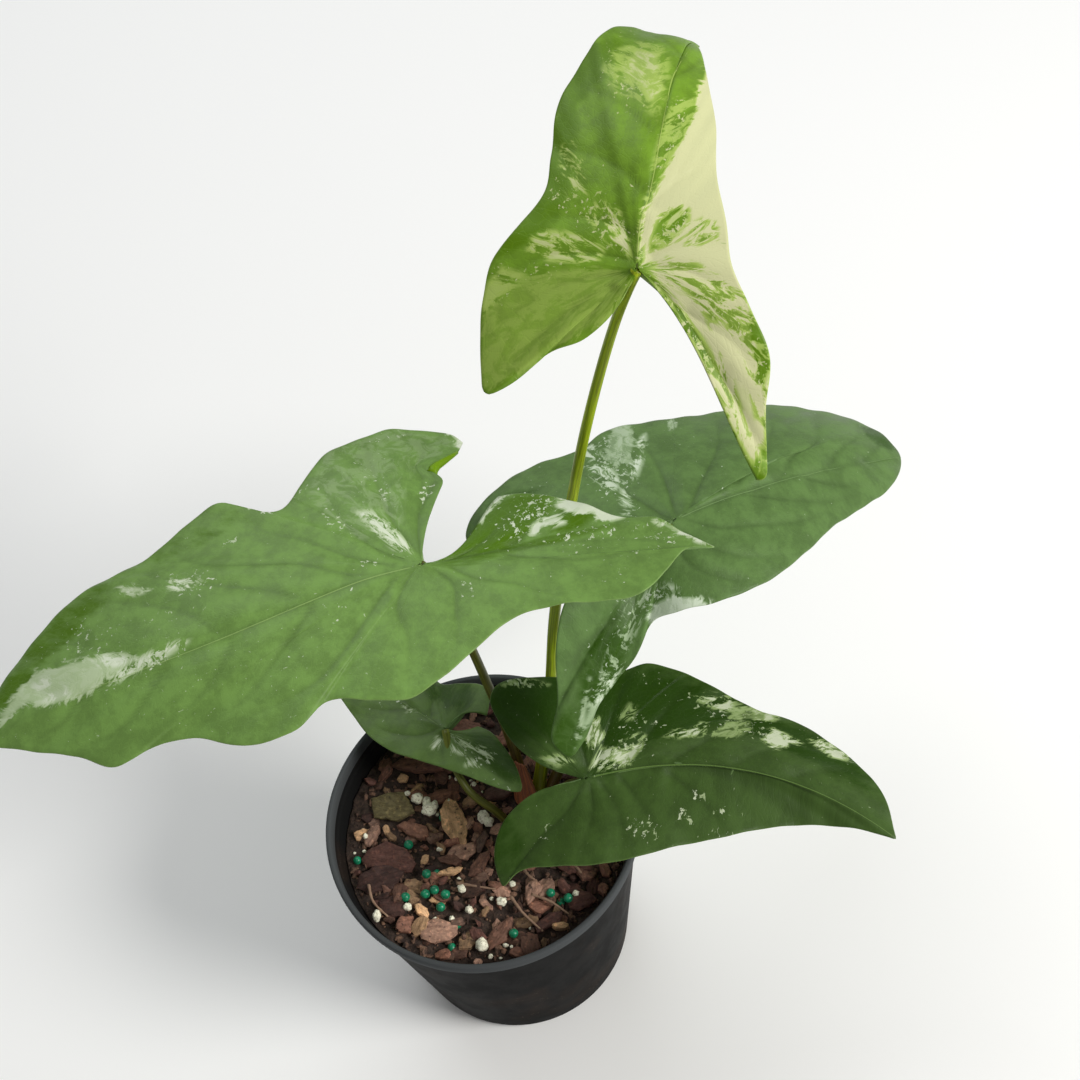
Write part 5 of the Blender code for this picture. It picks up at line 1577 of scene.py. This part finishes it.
def make_small_things(draw):
    """Crumbs, perlite, feed prills and twigs."""
    settings = bpy.context.scene.syngonium_mix
    crumbs = Shade("crumbs")
    patchy = crumbs.noise(crumbs.place(), 300.0, 3.0, 0.6)
    crumbs.set(Base_Color=crumbs.mix(crumbs.ease(patchy, 0.35, 0.65), (0.030, 0.016, 0.012),
                                     (0.230, 0.125, 0.080)), Roughness=0.9)
    crumbs.bump(crumbs.noise(crumbs.place(), 1800.0, 3.0), 0.0002, 0.9)
    places = strewn(draw, settings.crumb_count, *CRUMB_STREW)
    points, faces = lumps(places, 1, CRUMB_ROUGHNESS, draw)
    add_piece("crumbs", points, faces, crumbs.material, smooth=False)

    perlite = Shade("perlite")
    pores = perlite.noise(perlite.place(), 1500.0, 3.0, 0.6)
    perlite.set(Base_Color=perlite.mix(perlite.ease(pores, 0.34, 0.50), (0.52, 0.46, 0.34),
                                       settings.perlite), Roughness=0.9)
    perlite.bump(pores, 0.0003, 1.0)
    places = [(x, y, SOIL_LEVEL + 1.3 + 0.3 * size, size) for x, y, size in PERLITE_PLACES]
    places += strewn(draw, settings.perlite_count, *PERLITE_STREW)
    points, faces = lumps(places, 3, PERLITE_ROUGHNESS, draw)
    add_piece("perlite_grains", points, faces, perlite.material)

    prill = Shade("feed_prill")
    spots = prill.noise(prill.place(), 700.0, 2.0)
    prill.set(Base_Color=prill.mix(prill.ease(spots, 0.4, 0.6), settings.prill,
                                   [0.6 * c for c in settings.prill]), Roughness=0.32)
    prill.bump(spots, 0.0001, 0.4)
    places = [(x, y, SOIL_LEVEL + 2.0, PRILL_RADIUS) for x, y in PRILL_PLACES]
    places += strewn(draw, settings.prill_count, *PRILL_STREW)
    points, faces = lumps(places, 3, PRILL_ROUGHNESS, draw)
    add_piece("feed_prills", points, faces, prill.material)

    twig = Shade("twig")
    bark = twig.noise(twig.place(), 500.0, 4.0, 0.6)
    twig.set(Base_Color=twig.mix(bark, (0.150, 0.080, 0.052), (0.420, 0.270, 0.180)), Roughness=0.8)
    twig.bump(bark, 0.0003, 0.8)
    points, faces = [], []
    used = 0
    for run in TWIGS:
        rows = [(x, y, SOIL_LEVEL + TWIG_LIFT - TWIG_ARCH * abs(number - 1))
                for number, (x, y) in enumerate(run)]
        route = smooth_curve(rows, TWIG_STEPS, 3)
        radii = np.linspace(*TWIG_RADII, len(route))
        radii *= 1 + TWIG_KNOTS * np.sin(np.arange(len(route)) * 1.7)
        tube_points, tube_faces = tube(route, radii, TWIG_SIDES, used)
        used += len(tube_points)
        points.append(tube_points)
        faces += tube_faces
    add_piece("twigs", np.concatenate(points), faces, twig.material)


# Crown


def sheath_material():
    """Dry sheath: red-brown with upright ribs, darker and paler along them."""
    settings = bpy.context.scene.syngonium_stalks
    shade = Shade("dry_sheath")
    grain = shade.attribute("grain", "Vector")
    ribs = shade.noise(grain, 1.0, 4.0, 0.6)
    # The sheath colours are partly painted light, lighter than its own red-brown
    colour = shade.mix(shade.ease(ribs, 0.35, 0.68), settings.sheath, (0.200, 0.065, 0.030))
    colour = shade.mix(shade.ease(ribs, 0.66, 0.76, 0.0, 0.4), colour, (0.560, 0.270, 0.120))
    shade.set(Base_Color=colour, Roughness=0.5)
    shade.bump(ribs, 0.0003, 0.9)
    return shade.material


def make_crown():
    """The crown as a ribbed lump of old leaf bases, with the dry sheath in front of two stalks."""
    sides, rows = 72, 26
    points, grain = [], []
    for row in range(rows + 1):
        share = row / rows
        height = CROWN_FOOT + (CROWN_TOP - CROWN_FOOT) * share
        swelling = 0.62 + 0.38 * min(1.0, share * 2.2)
        radius = CROWN_RADIUS * swelling * (1 - 1.4 * max(0.0, share - 0.8))
        for step in range(sides):
            angle = 2 * pi * step / sides
            bulge = 0.45 * sin(5 * angle + 0.7) + 0.15 * sin(17 * angle + 2 * share)
            reach = radius - 0.6 + bulge
            points.append((CROWN[0] + reach * cos(angle), CROWN[1] + reach * sin(angle), height))
            grain.append((5.5 * cos(angle), 5.5 * sin(angle), 0.12 * height))
    faces = ring_faces(0, rows + 1, sides)
    faces.append(tuple(reversed(range(sides))))
    faces.append(tuple(rows * sides + step for step in range(sides)))
    sheath_points, sheath_faces, sheath_grain = sheath_sheet(len(points))
    add_piece("crown_and_sheath", points + sheath_points, faces + sheath_faces, sheath_material(),
              replaced=["stem"], values={"grain": np.array(grain + sheath_grain)})


def sheath_sheet(start):
    """A gutter that leans with the two tallest stalks, with a ragged left edge."""
    rows, columns = 44, 36
    routes = [smooth_curve(LEAVES[name]["stalk"], 60, 3) for name in SHEATHED]
    foot = CROWN_TOP - SHEATH_SUNK
    outer, inner, grain = [], [], []
    for row in range(rows + 1):
        share = row / rows
        height = foot + (SHEATH_TOP - foot) * share
        centre = [np.mean([np.interp(height, route[:, 2], route[:, axis]) for route in routes])
                  for axis in (0, 1)]
        half_width = radians(SHEATH_SPREAD - SHEATH_NARROWING * share**1.5)
        for column in range(columns + 1):
            across = 2.0 * column / columns - 1.0
            ragged = 0.10 * abs(sin(share * 26)) if across < -0.7 else 0.0
            angle = radians(SHEATH_FACES) + half_width * (across + ragged)
            crease = SHEATH_CREASE * np.exp(-((across - 0.35) / 0.12) ** 2)
            radius = SHEATH_RADIUS + 0.6 * share - crease + SHEATH_RIBS * sin(across * 17)
            for wall, reach in ((outer, radius + SHEATH_THICKNESS / 2),
                                (inner, radius - SHEATH_THICKNESS / 2)):
                wall.append((centre[0] + reach * cos(angle), centre[1] + reach * sin(angle), height))
            grain.append((9.0 * across, 0.5, 0.12 * height))
    width = columns + 1
    count = len(outer)
    faces = []
    for row in range(rows):
        for column in range(columns):
            a = start + row * width + column
            quad = (a, a + 1, a + width + 1, a + width)
            faces += [quad, tuple(index + count for index in reversed(quad))]
    border = list(range(width))
    border += [row * width + columns for row in range(1, rows + 1)]
    border += [rows * width + column for column in reversed(range(columns))]
    border += [row * width for row in reversed(range(1, rows))]
    for a, b in zip(border, border[1:] + border[:1]):
        faces.append((start + b, start + a, start + a + count, start + b + count))
    return outer + inner, faces, grain + grain


# Stage


def add_light(name, place, target, size, power, colour):
    light = bpy.data.lights.new(name, "AREA")
    light.shape = "DISK"
    light.size = size * MM
    light.energy = power
    light.color = colour
    lamp = bpy.data.objects.new(name, light)
    lamp.location = Vector(place) * MM
    lamp.rotation_euler = (Vector(target) - Vector(place)).to_track_quat("-Z", "Y").to_euler()
    bpy.context.scene.collection.objects.link(lamp)


def make_stage():
    settings = bpy.context.scene.syngonium_stage
    half = settings.floor_size / 2
    mesh = bpy.data.meshes.new("floor")
    mesh.from_pydata([(-half, -half, 0), (half, -half, 0), (half, half, 0), (-half, half, 0)], [],
                     [(0, 1, 2, 3)])
    shade = Shade("pale_floor")
    shade.set(Base_Color=settings.floor_colour, Roughness=0.9)
    mesh.materials.append(shade.material)
    floor = bpy.data.objects.new("floor", mesh)
    floor.location.z = FLOOR_DROP * MM
    bpy.context.scene.collection.objects.link(floor)

    world = bpy.data.worlds.new("soft_daylight")
    world.use_nodes = True
    sky = world.node_tree.nodes["Background"]
    sky.inputs["Color"].default_value = (1.0, 1.0, 1.0, 1.0)
    sky.inputs["Strength"].default_value = SKY_STRENGTH
    bpy.context.scene.world = world
    bpy.context.scene.view_settings.view_transform = "Standard"
    add_light("key", KEY_PLACE, KEY_AIM, KEY_SIZE, settings.key_power, (1.0, 0.985, 0.95))
    add_light("fill", FILL_PLACE, FILL_AIM, FILL_SIZE, settings.fill_power, (0.95, 0.98, 1.0))

    camera_data = bpy.data.cameras.new("camera")
    camera_data.lens = settings.lens
    camera_data.sensor_width = 36.0
    camera_data.dof.use_dof = False
    camera_data.clip_start = 0.01
    camera = bpy.data.objects.new("camera", camera_data)
    place, aim = Vector(CAMERA_PLACE) * MM, Vector(CAMERA_AIM) * MM
    look = (aim - place).to_track_quat("-Z", "Y").to_matrix() @ Matrix.Rotation(settings.roll, 3, "Z")
    camera.matrix_world = Matrix.Translation(place) @ look.to_4x4()
    bpy.context.scene.collection.objects.link(camera)
    bpy.context.scene.camera = camera


# Operators


class SYNGONIUM_OT_pot(bpy.types.Operator):
    """Turn the pot and cut its drain holes"""
    bl_idname = "syngonium.pot"
    bl_label = "Pot"

    def execute(self, context):
        make_pot()
        return {"FINISHED"}


class SYNGONIUM_OT_mix(bpy.types.Operator):
    """Fill the pot with fines, bark chips, perlite, feed prills and twigs"""
    bl_idname = "syngonium.mix"
    bl_label = "Potting Mix"

    def execute(self, context):
        draw = random.Random(context.scene.syngonium_mix.seed)
        make_bed()
        make_chips(draw)
        make_small_things(draw)
        return {"FINISHED"}


class SYNGONIUM_OT_crown(bpy.types.Operator):
    """Make the crown and its dry sheath"""
    bl_idname = "syngonium.crown"
    bl_label = "Crown"

    def execute(self, context):
        make_crown()
        return {"FINISHED"}


class SYNGONIUM_OT_stalks(bpy.types.Operator):
    """Grow one stalk for each leaf"""
    bl_idname = "syngonium.stalks"
    bl_label = "Stalks"

    def execute(self, context):
        for name, leaf in LEAVES.items():
            make_stalk(name, leaf)
        return {"FINISHED"}


class SYNGONIUM_OT_blades(bpy.types.Operator):
    """Make the five blades with their veins and markings"""
    bl_idname = "syngonium.blades"
    bl_label = "Blades"

    def execute(self, context):
        for name, leaf in LEAVES.items():
            make_blade(name, leaf)
        return {"FINISHED"}


class SYNGONIUM_OT_stage(bpy.types.Operator):
    """Add the floor, the light and the camera"""
    bl_idname = "syngonium.stage"
    bl_label = "Stage"

    def execute(self, context):
        make_stage()
        return {"FINISHED"}


class SYNGONIUM_PT_panel(bpy.types.Panel):
    """Panel that lists the steps and their settings"""
    bl_idname = "SYNGONIUM_PT_panel"
    bl_label = "Potted Syngonium"
    bl_space_type = "VIEW_3D"
    bl_region_type = "UI"
    bl_category = "Syngonium"

    def draw(self, context):
        for operator in OPERATORS:
            self.layout.operator(operator.bl_idname)
        for key, group in SETTINGS.items():
            box = self.layout.box()
            for field in group.__annotations__:
                box.prop(getattr(context.scene, key), field)


OPERATORS = (
    SYNGONIUM_OT_pot,
    SYNGONIUM_OT_mix,
    SYNGONIUM_OT_crown,
    SYNGONIUM_OT_stalks,
    SYNGONIUM_OT_blades,
    SYNGONIUM_OT_stage,
)


def register():
    for group in (*SETTINGS.values(), *OPERATORS, SYNGONIUM_PT_panel):
        bpy.utils.register_class(group)
    for key, group in SETTINGS.items():
        setattr(bpy.types.Scene, key, PointerProperty(type=group))


def unregister():
    for key in SETTINGS:
        delattr(bpy.types.Scene, key)
    for group in (SYNGONIUM_PT_panel, *OPERATORS, *SETTINGS.values()):
        bpy.utils.unregister_class(group)


def main():
    register()
    bpy.ops.syngonium.stage()
    bpy.ops.syngonium.pot()
    bpy.ops.syngonium.mix()
    bpy.ops.syngonium.crown()
    bpy.ops.syngonium.stalks()
    bpy.ops.syngonium.blades()


if __name__ == "__main__":
    main()
